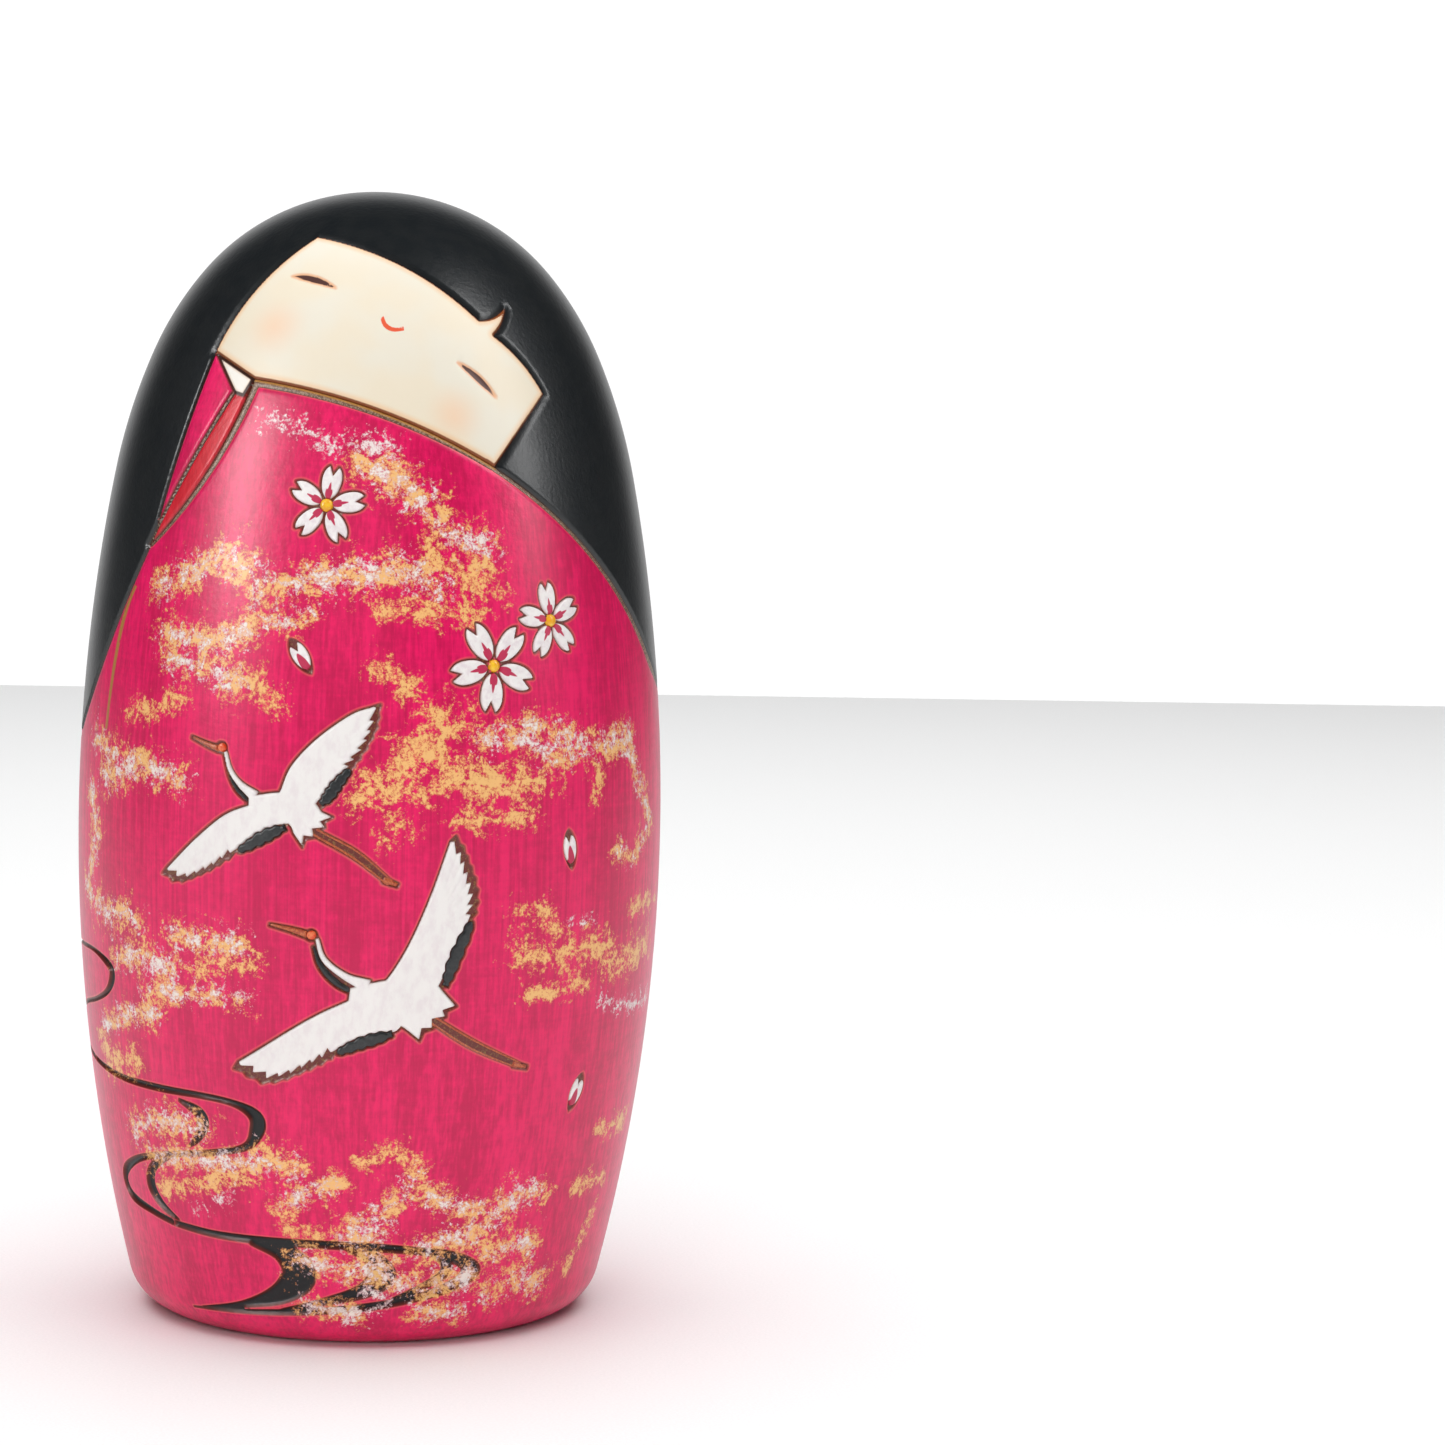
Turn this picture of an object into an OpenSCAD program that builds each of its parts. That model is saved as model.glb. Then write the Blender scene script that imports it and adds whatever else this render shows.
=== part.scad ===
// Cocoon-shaped turned wooden doll with carved and painted kimono, hair and face.
// Millimetres, +Z up, origin at the centre of the base, the face looks to -Y.

/* [Turned body] */
// overall height of the doll
body_h = 155; // [120:1:200]
// radius of the crown arc
crown_r = 31; // [26:0.5:36]
// radius of the shoulder arc
shoulder_r = 45; // [38:0.5:52]
// radius of the upper side arc
side_r = 80; // [70:1:95]
// radius of the long belly arc
belly_r = 257; // [220:1:300]
// radius of the rounded foot
foot_r = 7; // [4:0.5:10]

/* [Layers] */
// thickness of the dyed and painted outer layer
skin_t = 1.6; // [1.0:0.1:2.5]
// height of the thick white paint over the surface
relief_t = 0.3; // [0.2:0.05:0.6]
// height of the thin black and red lines over the surface
line_t = 0.12; // [0.1:0.02:0.3]

/* [Decoration] */
// radius of the left blossom
blossom_left_r = 4.8; // [3:0.1:6]
// radius of the middle blossom
blossom_mid_r = 6; // [4:0.1:7.5]
// radius of the right blossom
blossom_right_r = 4.9; // [3:0.1:6]
// radius of each blossom's yellow centre
pistil_r = 0.6; // [0.4:0.05:1]
// width of the channel that the stream runs in
stream_w = 1; // [0.6:0.1:1.6]

/* [Hidden] */
// each arc of the half outline, crown first: radius, then turn in degrees
arcs = [[crown_r, 49.5], [shoulder_r, 17], [side_r, 12.5], [belly_r, 25], [foot_r, 76]];
// straight steps that each arc is made with, for a sag under 0.02 mm
steps = [14, 6, 5, 14, 12];
// heading and position at the start of each arc, found by walking down from the crown
function heading(i) = i == 0 ? 0 : heading(i - 1) + arcs[i - 1][1];
function start_r(i) = i == 0 ? 0
    : start_r(i - 1) + arcs[i - 1][0] * (sin(heading(i)) - sin(heading(i - 1)));
function start_z(i) = i == 0 ? 0
    : start_z(i - 1) - arcs[i - 1][0] * (cos(heading(i - 1)) - cos(heading(i)));
drop = -start_z(5);
k = body_h / drop;
foot_flat_r = k * start_r(5);
// a point of the outline: arc i, share t along it, moved inward by d
function edge_pt(i, t, d) = let (h0 = heading(i), h = h0 + t * arcs[i][1], r = arcs[i][0])
    [max(0, k * (start_r(i) + r * (sin(h) - sin(h0))) - d * sin(h)),
     body_h + k * (start_z(i) - r * (cos(h0) - cos(h))) - d * cos(h)];
function outline(d) = [for (i = [0:4]) for (j = [(i == 0 ? 0 : 1):steps[i]])
    edge_pt(i, j / steps[i], d)];
function back_to_front(p) = [for (i = [len(p) - 1:-1:0]) p[i]];

// reach of the cutting outlines past the body
reach = 60;
// a curve from a to c pulled towards b
function bend(a, b, c, n = 8) = [for (i = [0:n]) let (t = i / n)
    (1 - t) * (1 - t) * a + 2 * t * (1 - t) * b + t * t * c];
// a curve from a to c that bulges h to the left of its way
function bow(a, c, h, n = 8) = let (d = c - a, s = [-d[1], d[0]] / norm(d))
    [for (i = [0:n]) let (t = i / n) a + t * d + 4 * h * t * (1 - t) * s];
// sideways step of width w beside the curve a-b-c at share t
function side(a, b, c, t, w) = let (d = (1 - t) * (b - a) + t * (c - b))
    w * [-d[1], d[0]] / norm(d);
function mid(a, b, c, t) = (1 - t) * (1 - t) * a + 2 * t * (1 - t) * b + t * t * c;

// corners of the painted fields, seen from the front: x, then height
face_top = [-8.2, 148.6];
face_notch = [13.4, 138.1];
lock_tip = [17, 139.7];
lock_end = [15.4, 136.1];
face_right = [22.2, 128.2];
face_low = [15.7, 118.9];
face_chin = [-16, 129.7];
face_left = [-21.6, 133];
neck_low = [-18.9, 127.8];
lining_end = [-30.1, 107.1];
hair_fork = [-29.3, 108.9];
hair_left = [-40.9, 78];
hair_right = [40.7, 83];
hair_back = [0, 56];
band_w = 1.3;

// each crane: place on the body as a turn and a height, then its points beside that place
crane_at = [[-14.2, 73.6], [8.1, 49]];
// root, knee, tip, fan bulge, fan end, fan hub, sag of the inner edge, heel
wing_up = [
    [[-2.9, 2.1], [-1.2, 9.2], [10, 14], [10.8, 10.5], [8.2, 6.6], [2, 6], [4.6, 4.6], [2.8, 1.4]],
    [[-3.5, 1.8], [1.2, 9.5], [5.3, 21.3], [9.8, 17.5], [8, 10.4], [4, 10], [5.8, 6], [4, 1.8]]];
wing_low = [
    [[-5.6, 0.9], [-11, -0.6], [-18.7, -8.2], [-16, -11], [-8, -5.4], [-8, -3], [-5.5, -2.2], [-1, -1.7]],
    [[-7.4, 0.4], [-13.5, -2], [-22, -10], [-19, -13.2], [-9.7, -7.4], [-11, -4.5], [-5.5, -5], [-1, -4.3]]];
feathers = [4, 6];
trunk = [[[-6.6, 1.3], [-1, 1.4], [3.8, -1.6], 5], [[-8, 1.2], [-2, 0.6], [5, -1.8], 6.6]];
tail_root = [[0.3, 0], [1, -1]];
tail_tips = [[[4.8, -0.7], [3.4, -2.2], [2.1, -3.5], [0.8, -4.5]],
    [[5.4, 0.3], [6.4, -1.5], [4.5, -2.7], [2.9, -4], [1.4, -5.7]]];
nape = [[[-10.4, 7.2], [-8.9, 2.8], [-5, 1.8]], [[-13, 7.7], [-11.4, 3.4], [-6.6, 1.8]]];
throat = [[[-9.9, 5.8], [-9, 1.8], [-5.6, 1]], [[-12.7, 7], [-11.9, 2.4], [-7, 0.6]]];
crest_at = [[-10.8, 7.9], [-13.2, 8.4]];
beak_tip = [[-15.1, 9], [-18.3, 9.6]];
legs_from = [[3.2, -2.8], [3, -2.9]];
legs_to = [[13.3, -9.2], [16.3, -10.1]];

// stream: turns and heights along its channels
stream_r = 39.2;
function around(a, z, from) = [stream_r * sin(a - from), z];

// a ring-shaped layer of the body, from depth a to depth b under the surface
module layer(a, b) {
    rotate_extrude($fn = 96)
        polygon(concat(outline(a), back_to_front(outline(b))));
}

// the space in front of, or behind, an outline drawn in x and height
module ahead() {
    rotate([90, 0, 0]) linear_extrude(reach) children();
}
module behind() {
    translate([0, reach, 0]) rotate([90, 0, 0]) linear_extrude(reach) children();
}

// an outline set on the side of the body, t thick over the surface
module on_side(turn, z, t) {
    intersection() {
        layer(-t, 0);
        rotate([0, 0, turn]) translate([0, 0, z]) ahead() union() children();
    }
}

// a pointed leaf along the curve a-b-c
module blade(a, b, c, w, n = 8) {
    polygon(concat(
        [for (i = [0:n]) mid(a, b, c, i / n) + side(a, b, c, i / n, w / 2 * pow(sin(180 * i / n), 0.7))],
        [for (i = [n - 1:-1:1]) mid(a, b, c, i / n) - side(a, b, c, i / n, w / 2 * pow(sin(180 * i / n), 0.7))]));
}
// a strip along the curve a-b-c whose width goes from v to w
module strip(a, b, c, v, w, n = 8) {
    polygon(concat(
        [for (i = [0:n]) mid(a, b, c, i / n) + side(a, b, c, i / n, (v + (w - v) * i / n) / 2)],
        [for (i = [n:-1:0]) mid(a, b, c, i / n) - side(a, b, c, i / n, (v + (w - v) * i / n) / 2)]));
}

// outlines of the fields on the front
function face_line() = concat(
    bow(face_top, face_notch, 1.8),
    bow(face_notch, lock_tip, -0.5, 3),
    bow(lock_tip, lock_end, 0.4, 3),
    bow(lock_end, face_right, 0.6, 4));
function chin_line() = bow(face_low, face_chin, -1.8, 8);
function left_line() = bow(face_left, face_top, 1.5);
module face_outline() {
    polygon(concat(face_line(), [face_low], chin_line(), [face_left], left_line()));
}
// a narrow band beside a bow, shifted by s
module seam(a, c, h, s) {
    polygon(concat(bow(a, c, h, 8), bow(c + s, a + s, -h, 8)));
}
module edge_outline() {
    difference() {
        union() {
            seam(face_chin, face_low, 1.8, [-0.3, -band_w]);
            seam(lining_end, face_chin, -1.2, [1, -0.3]);
            seam(neck_low, lining_end, -0.4, [-0.7, 0.1]);
            seam(face_low, hair_right, 4.6, [-0.6, -0.4]);
        }
        face_outline();
    }
}
module neck_outline() {
    difference() {
        polygon([face_left, face_chin, neck_low]);
        face_outline();
        edge_outline();
    }
}
module lining_outline() {
    difference() {
        polygon(concat(bow(neck_low, lining_end, -0.4), bow(lining_end, face_chin, -1.2)));
        edge_outline();
    }
}
module under_outline() {
    difference() {
        polygon(concat([face_left], bow(neck_low, lining_end, -0.4), bow(hair_fork, face_left, 0.4)));
        edge_outline();
    }
}
module kimono_outline() {
    difference() {
        polygon(concat(
            bow(face_chin, face_low, 1.8, 8),
            bow(face_low, hair_right, 4.6, 8),
            [[reach, 83], [reach, -5], [-reach, -5], [-reach, 78]],
            bow(hair_left, lining_end, 0.6),
            bow(lining_end, face_chin, -1.2)));
        edge_outline();
    }
}
module hair_outline() {
    difference() {
        polygon(concat(
            [[-reach, 170], [-reach, 78]],
            bow(hair_left, lining_end, 0.6), bow(hair_fork, face_left, 0.4), [[0, 129], face_low],
            bow(face_low, hair_right, 4.6, 8),
            [[reach, 83], [reach, 170]]));
        face_outline();
    }
}
module hair_back_outline() {
    polygon(concat([[-reach, 170], [-reach, 78]],
        bend([-40.5, 78], [-30, 56], hair_back, 8),
        bend(hair_back, [31, 56], [40.3, 84], 8),
        [[reach, 84], [reach, 170]]));
}

module wood_core() {
    color("#d9b98a") rotate_extrude($fn = 96)
        polygon(concat(outline(skin_t), [[foot_flat_r, 0], [0, 0]]));
}
module hair() {
    color("#2b3237") intersection() {
        layer(0, skin_t);
        union() {
            ahead() hair_outline();
            behind() hair_back_outline();
        }
    }
}
module face() {
    color("#f5f0e1") intersection() {
        layer(0, skin_t);
        ahead() face_outline();
    }
}
module neck_collar() {
    color("#f4efe6") intersection() {
        layer(0, skin_t);
        ahead() neck_outline();
    }
}
module under_kimono() {
    color("#d23a6c") intersection() {
        layer(0, skin_t);
        ahead() under_outline();
    }
}
module collar_lining() {
    color("#d21e32") intersection() {
        layer(0, skin_t);
        ahead() lining_outline();
    }
}
module collar_edge() {
    color("#96693c") intersection() {
        layer(0, skin_t);
        ahead() edge_outline();
    }
}
module kimono() {
    color("#d8185f") difference() {
        intersection() {
            layer(0, skin_t);
            union() {
                ahead() kimono_outline();
                translate([-reach, 0, -5]) cube([2 * reach, reach, 90]);
            }
        }
        behind() hair_back_outline();
    }
}

module fold_line() {
    color("#c9924a") on_side(-52, 0, line_t) strip([4, 101.5], [0, 96], [-1, 82.5], 0.5, 0.3);
}
module eye_left() {
    color("#6e2f14") intersection() {
        layer(-line_t, 0);
        ahead() blade([-11.4, 143.2], [-8.6, 143.6], [-5.7, 142], 0.5);
    }
}
module eye_right() {
    color("#6e2f14") intersection() {
        layer(-line_t, 0);
        ahead() blade([10.7, 132.4], [13.6, 131], [15.7, 128], 0.5);
    }
}
module mouth() {
    color("#ea5a32") intersection() {
        layer(-line_t, 0);
        ahead() strip([0.6, 138.1], [1.2, 136.3], [3.5, 136.7], 0.4, 0.4);
    }
}

// feather points along the fan of a wing
function fan(w, n) = [for (i = [0:n - 1]) for (part = [0, 1])
    let (s = (i + (part == 0 ? 0.45 : 1)) / n, p = mid(w[2], w[3], w[4], s), d = w[5] - p)
    part == 0 ? p + 1.3 * d / norm(d) : p];
module wing(w, n) {
    polygon(concat(bend(w[0], w[1], w[2], 10), fan(w, n), bend(w[4], w[6], w[7], 5), [w[5] / 2]));
}
// the dark scalloped feathers along the inner edge of a wing, on side s of it
module quills(w, s) {
    polygon(concat(bend(w[4], w[6], w[7], 15),
        [for (i = [14:-1:1]) let (t = i / 15) mid(w[4], w[6], w[7], t)
            + side(w[4], w[6], w[7], t, s * (sqrt(sin(180 * t)) + 0.3 * abs(sin(900 * t))))]));
}
module plumage_outline(c) {
    wing(wing_up[c], feathers[c]);
    wing(wing_low[c], feathers[c] + 2);
    blade(trunk[c][0], trunk[c][1], trunk[c][2], trunk[c][3], 12);
    for (t = tail_tips[c])
        blade(tail_root[c], (tail_root[c] + t) / 2, t + (t - tail_root[c]) * 0.04, 2.2);
    strip(nape[c][0], nape[c][1], nape[c][2], 0.8, 1.2);
}
module plumage(c) {
    color("#f3f0ee") on_side(crane_at[c][0], crane_at[c][1], relief_t) difference() {
        plumage_outline(c);
        quills(wing_up[c], 1);
        quills(wing_low[c], -1);
        strip(throat[c][0], throat[c][1], throat[c][2], 1, 1.4);
        translate(crest_at[c]) circle(0.8, $fn = 16);
    }
}
module crane_quills(c) {
    color("#2d3236") on_side(crane_at[c][0], crane_at[c][1], relief_t) {
        quills(wing_up[c], 1);
        quills(wing_low[c], -1);
        strip(throat[c][0], throat[c][1], throat[c][2], 1, 1.4);
    }
}
module crane_crest(c) {
    color("#e8512a") on_side(crane_at[c][0], crane_at[c][1], relief_t)
        translate(crest_at[c]) circle(0.8, $fn = 16);
}
module crane_beak(c) {
    color("#a04a32") on_side(crane_at[c][0], crane_at[c][1], line_t) difference() {
        strip(beak_tip[c], (beak_tip[c] + crest_at[c]) / 2 - [0, 0.2], crest_at[c], 0.3, 1.1);
        translate(crest_at[c]) circle(0.8, $fn = 16);
    }
}
module crane_legs(c) {
    color("#963c32") on_side(crane_at[c][0], crane_at[c][1], line_t) {
        strip(legs_from[c], (legs_from[c] + legs_to[c]) / 2 + [0.3, 0.5], legs_to[c], 0.5, 0.6);
        strip(legs_from[c] - [0, 0.9], (legs_from[c] + legs_to[c]) / 2 - [0.2, 0.5], legs_to[c], 0.5, 0.6);
    }
}
module crane_upper_plumage() {
    plumage(0);
}
module crane_upper_quills() {
    crane_quills(0);
}
module crane_upper_crest() {
    crane_crest(0);
}
module crane_upper_beak() {
    crane_beak(0);
}
module crane_upper_legs() {
    crane_legs(0);
}
module crane_lower_plumage() {
    plumage(1);
}
module crane_lower_quills() {
    crane_quills(1);
}
module crane_lower_crest() {
    crane_crest(1);
}
module crane_lower_beak() {
    crane_beak(1);
}
module crane_lower_legs() {
    crane_legs(1);
}

// a cherry petal with its notch, from the blossom's centre outward along +x
module petal(r) {
    polygon(concat(
        bend([0.12 * r, 0], [0.3 * r, 0.4 * r], [0.7 * r, 0.36 * r], 4),
        bend([0.7 * r, 0.36 * r], [0.98 * r, 0.3 * r], [r, 0.1 * r], 3),
        [[0.86 * r, 0]],
        bend([r, -0.1 * r], [0.98 * r, -0.3 * r], [0.7 * r, -0.36 * r], 3),
        bend([0.7 * r, -0.36 * r], [0.3 * r, -0.4 * r], [0.12 * r, 0], 4)));
}
module petals(turn, z, r, spin) {
    color("#f6efef") on_side(turn, z, relief_t) difference() {
        for (i = [0:4]) rotate(spin + 72 * i) petal(r);
        circle(pistil_r, $fn = 16);
    }
}
module pistil(turn, z) {
    color("#f7be14") on_side(turn, z, relief_t + 0.1) circle(pistil_r, $fn = 16);
}
module blossom_left_petals() {
    petals(-10.2, 113.7, blossom_left_r, 72);
}
module blossom_left_pistil() {
    pistil(-10.2, 113.7);
}
module blossom_middle_petals() {
    petals(24, 92.9, blossom_mid_r, 48);
}
module blossom_middle_pistil() {
    pistil(24, 92.9);
}
module blossom_right_petals() {
    petals(37.6, 98.6, blossom_right_r, 96);
}
module blossom_right_pistil() {
    pistil(37.6, 98.6);
}
module fallen_petal(turn, z, spin) {
    color("#f6efef") on_side(turn, z, relief_t)
        rotate(spin) translate([-3.1, 0]) scale([1, 0.85]) petal(5.6);
}
module fallen_petal_upper() {
    fallen_petal(-14.3, 94.2, 125);
}
module fallen_petal_middle() {
    fallen_petal(41.2, 68.3, 98);
}
module fallen_petal_lower() {
    fallen_petal(47.6, 34.6, 68);
}

// one leg of the stream between two turns, and a dark crescent at a bend
module channel(f, a, b, c) {
    strip(around(a[0], a[1], f), around(b[0], b[1], f), around(c[0], c[1], f), stream_w, stream_w);
}
module crescent(f, a, b, c, w) {
    blade(around(a[0], a[1], f), around(b[0], b[1], f), around(c[0], c[1], f), w);
}
module stream_upper() {
    color("#2e3134") on_side(-80, 0, line_t) {
        channel(-80, [-112, 56], [-86, 54], [-64, 48.5]);
        channel(-80, [-64, 48.5], [-66, 43], [-86, 42.5]);
        channel(-80, [-86, 42.5], [-92, 37], [-74, 34.6]);
        crescent(-80, [-75, 50], [-54, 46.5], [-78, 43], 1.8);
    }
}
module stream_middle() {
    color("#2e3134") on_side(-50, 0, line_t) {
        channel(-50, [-74, 34.6], [-50, 35], [-26, 32]);
        channel(-50, [-26, 32], [-16, 29.6], [-28, 27.8]);
        channel(-50, [-28, 27.8], [-46, 25.2], [-60, 24]);
        crescent(-50, [-35, 33], [-14, 30.6], [-28, 26.6], 2.2);
        crescent(-50, [-48, 33], [-33, 29.6], [-46, 26.6], 2.2);
        crescent(-50, [-60, 25], [-74, 20], [-56, 16.4], 1.8);
        crescent(-50, [-53, 24.6], [-66, 20], [-50, 16], 1.8);
    }
}
module stream_lower() {
    color("#2e3134") on_side(-20, 0, line_t) {
        channel(-20, [-68, 20], [-46, 12.5], [24, 12]);
        channel(-20, [14, 5.4], [-14, 4.4], [-42, 5.4]);
        crescent(-20, [-34, 11.2], [-8, 9.7], [16, 11], 2.2);
    }
}

wood_core();
hair();
face();
neck_collar();
under_kimono();
collar_lining();
collar_edge();
kimono();
fold_line();
eye_left();
eye_right();
mouth();
crane_upper_plumage();
crane_upper_quills();
crane_upper_crest();
crane_upper_beak();
crane_upper_legs();
crane_lower_plumage();
crane_lower_quills();
crane_lower_crest();
crane_lower_beak();
crane_lower_legs();
blossom_left_petals();
blossom_left_pistil();
blossom_middle_petals();
blossom_middle_pistil();
blossom_right_petals();
blossom_right_pistil();
fallen_petal_upper();
fallen_petal_middle();
fallen_petal_lower();
stream_upper();
stream_middle();
stream_lower();
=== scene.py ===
# %% [markdown]
# # A cocoon-shaped kokeshi doll
# The real doll is turned from one block of wood. Lines are burnt and cut into its skin, the fields between
# them are dyed, lacquered or painted, and the birds and blossoms are filled with thick white paint.
# This lesson makes the skin as one turned mesh, cuts it along the drawn lines into fields, sinks the burnt
# grooves, and then lays the raised paint on top. Lengths are in millimetres until a point is placed.

import math

import bmesh
import bpy
import numpy as np
from mathutils import Matrix, Vector, kdtree


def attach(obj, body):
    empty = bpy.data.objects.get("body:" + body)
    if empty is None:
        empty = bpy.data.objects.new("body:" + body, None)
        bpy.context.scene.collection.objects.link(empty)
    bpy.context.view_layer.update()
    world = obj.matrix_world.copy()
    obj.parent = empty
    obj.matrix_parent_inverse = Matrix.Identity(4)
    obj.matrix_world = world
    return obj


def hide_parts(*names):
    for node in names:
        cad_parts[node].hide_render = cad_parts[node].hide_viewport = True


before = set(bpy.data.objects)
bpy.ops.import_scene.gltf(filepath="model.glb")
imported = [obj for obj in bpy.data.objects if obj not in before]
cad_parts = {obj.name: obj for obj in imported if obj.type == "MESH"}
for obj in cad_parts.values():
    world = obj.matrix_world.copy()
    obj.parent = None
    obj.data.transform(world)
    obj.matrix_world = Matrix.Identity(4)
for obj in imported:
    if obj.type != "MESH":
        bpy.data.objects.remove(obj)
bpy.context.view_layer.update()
MM = 0.001

# %% [markdown]
# ## The half outline
# A turner works to a template made of arcs that run smoothly into each other. Spinning a single point about
# each arc's centre draws exactly that template, so five spins give the whole half outline.

# %% Draw the half outline with five spins
HEIGHT = 155
ARCS = ((31, 49.5, 26), (45, 17, 13), (80, 12.5, 17), (257, 25, 112), (7, 76, 14))


def half_outline():
    bm = bmesh.new()
    point = bm.verts.new((0, 0, 0))
    heading = 0.0
    for radius, turn, steps in ARCS:
        centre = point.co - radius * Vector((math.sin(heading), 0, math.cos(heading)))
        arc = bmesh.ops.spin(bm, geom=[point], cent=centre, axis=(0, 1, 0), angle=math.radians(turn), steps=steps)
        point = next(g for g in arc["geom_last"] if isinstance(g, bmesh.types.BMVert))
        heading += math.radians(turn)
    low = min(v.co.z for v in bm.verts)
    bmesh.ops.translate(bm, verts=bm.verts, vec=(0, 0, -low))
    k = HEIGHT / max(v.co.z for v in bm.verts)
    bmesh.ops.scale(bm, verts=bm.verts, vec=(k, k, k))
    return bm


template = half_outline()
outline = np.array(sorted(((v.co.x, v.co.z) for v in template.verts), key=lambda p: p[1]))
print("outline points", len(outline), "widest", round(2 * outline[:, 0].max(), 2))

# %% [markdown]
# ## Where the skin is
# Everything that is drawn has to land on this surface. These helpers give the radius at a height, the
# height at a radius near the crown, and the outward normal, all read off the outline.

# %% Measure the skin
slope = np.gradient(outline[:, 0], outline[:, 1], edge_order=1)
normals = np.stack([np.ones(len(outline)), -slope], 1)
normals /= np.linalg.norm(normals, axis=1)[:, None]
normals[-1] = (0, 1)
TOP_Z = 143.0


def radius_at(z):
    return np.interp(z, outline[:, 1], outline[:, 0])


def onto_skin(p):
    """Points moved onto the skin: out from the axis below the crown, straight up on the crown."""
    p = p.copy()
    r = np.hypot(p[:, 0], p[:, 1])
    low = p[:, 2] < TOP_Z
    k = radius_at(p[low, 2]) / np.maximum(r[low], 1e-9)
    p[low, 0] *= k
    p[low, 1] *= k
    crown = outline[outline[:, 1] > TOP_Z - 4][::-1]
    p[~low, 2] = np.interp(r[~low], crown[:, 0], crown[:, 1])
    return p


def skin_normal(p):
    r = np.maximum(np.hypot(p[:, 0], p[:, 1]), 1e-9)
    nr = np.interp(p[:, 2], outline[:, 1], normals[:, 0])
    nz = np.interp(p[:, 2], outline[:, 1], normals[:, 1])
    n = np.stack([nr * p[:, 0] / r, nr * p[:, 1] / r, nz], 1)
    return n / np.linalg.norm(n, axis=1)[:, None]


# %% [markdown]
# ## Drawing on the skin
# A pattern is drawn flat, as on paper held against one side of the doll, and pushed straight in. `turn` says
# which side the paper is on (0 is the face's side) and `height` where its origin is. The curves are the
# same few as a draughtsman's: a bend towards a point, a bow between two points, a leaf, a strip and a petal.


# %% Flat curves
def P(*xy):
    return np.array(xy, float)


def bend(a, b, c, n=12):
    t = np.linspace(0, 1, n + 1)[:, None]
    return (1 - t) ** 2 * P(*a) + 2 * t * (1 - t) * P(*b) + t * t * P(*c)


def bow(a, c, h, n=16):
    a, c = P(*a), P(*c)
    t = np.linspace(0, 1, n + 1)[:, None]
    d = c - a
    side = P(-d[1], d[0]) / np.hypot(*d)
    return a + t * d + 4 * h * t * (1 - t) * side


def sides(line):
    d = np.gradient(line, axis=0)
    return np.stack([-d[:, 1], d[:, 0]], 1) / np.hypot(d[:, 0], d[:, 1])[:, None]


def leaf(a, b, c, w, n=16, power=0.7):
    line = bend(a, b, c, n)
    half = (w / 2 * np.sin(np.pi * np.linspace(0, 1, n + 1)).clip(0) ** power)[:, None]
    return np.concatenate([line + sides(line) * half, (line - sides(line) * half)[-2:0:-1]])


def strip(a, b, c, v, w, n=16):
    line = bend(a, b, c, n)
    half = np.linspace(v / 2, w / 2, n + 1)[:, None]
    return np.concatenate([line + sides(line) * half, (line - sides(line) * half)[::-1]])


def turned(poly, degrees, move=(0, 0)):
    a = math.radians(degrees)
    return poly @ np.array([[math.cos(a), math.sin(a)], [-math.sin(a), math.cos(a)]]) + P(*move)


# %% [markdown]
# ## From skin to paper and back
# The drawings are flat, as a pattern laid against the doll is flat. Two small functions carry a point from the
# skin to the paper and back, and `signed` says how far a point is from an outline, with a minus sign inside.
# Working with distances, rather than with a cut mesh, lets the same drawing drive grooves, paint and colour.

# %% Distances to flat outlines
def signed(q, polys):
    """Distance from each point to the nearest outline, negative inside one."""
    best = np.full(len(q), 1e9)
    for poly in polys:
        near = np.full(len(q), 1e18)
        odd = np.zeros(len(q), bool)
        for a, b in zip(poly, np.roll(poly, -1, 0)):
            d = b - a
            t = np.clip(((q - a) @ d) / max(d @ d, 1e-12), 0, 1)
            e = q - a - t[:, None] * d
            near = np.minimum(near, (e * e).sum(1))
            cross = (a[1] > q[:, 1]) != (b[1] > q[:, 1])
            x = a[0] + (q[:, 1] - a[1]) * d[0] / (d[1] if abs(d[1]) > 1e-12 else 1e-12)
            odd ^= cross & (q[:, 0] < x)
        best = np.minimum(best, np.where(odd, -1, 1) * np.sqrt(near))
    return best


def to_flat(p, turn, height):
    """(across, up) on the paper, and how far out each point is."""
    a = math.radians(turn)
    u = p[:, 0] * math.cos(a) + p[:, 1] * math.sin(a)
    out = p[:, 0] * math.sin(a) - p[:, 1] * math.cos(a)
    return np.stack([u, p[:, 2] - height], 1), out


def to_skin(q, turn, height):
    """The points of the skin under a flat drawing."""
    a = math.radians(turn)
    z = q[:, 1] + height
    out = np.sqrt(np.maximum(radius_at(z) ** 2 - q[:, 0] ** 2, 0))
    x = q[:, 0] * math.cos(a) + out * math.sin(a)
    y = q[:, 0] * math.sin(a) - out * math.cos(a)
    return np.stack([x, y, z], 1)


# %% [markdown]
# ## The fields of the front
# The collar, face and hair meet in long single curves. Each field is a closed outline. Later fields are laid
# over earlier ones, as paper cut-outs would be, so neighbours share one edge without tracing it twice.

# %% Outlines of hair, face and kimono
FACE_TOP, FACE_NOTCH, LOCK_TIP, LOCK_END = (-8.2, 148.7), (13.4, 138.1), (17.1, 139.8), (15.4, 136.1)
FACE_RIGHT, FACE_LOW, FACE_CHIN, FACE_LEFT = (22.3, 128.3), (15.7, 118.9), (-16.2, 129.8), (-21.6, 133.1)
NECK_LOW, LINING_END, HAIR_FORK = (-18.9, 127.8), (-30.1, 107.1), (-29.4, 108.9)
HAIR_LEFT, HAIR_RIGHT, HAIR_BACK = (-40.7, 78), (40.7, 83), (0, 56)
FAR = 60


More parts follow.
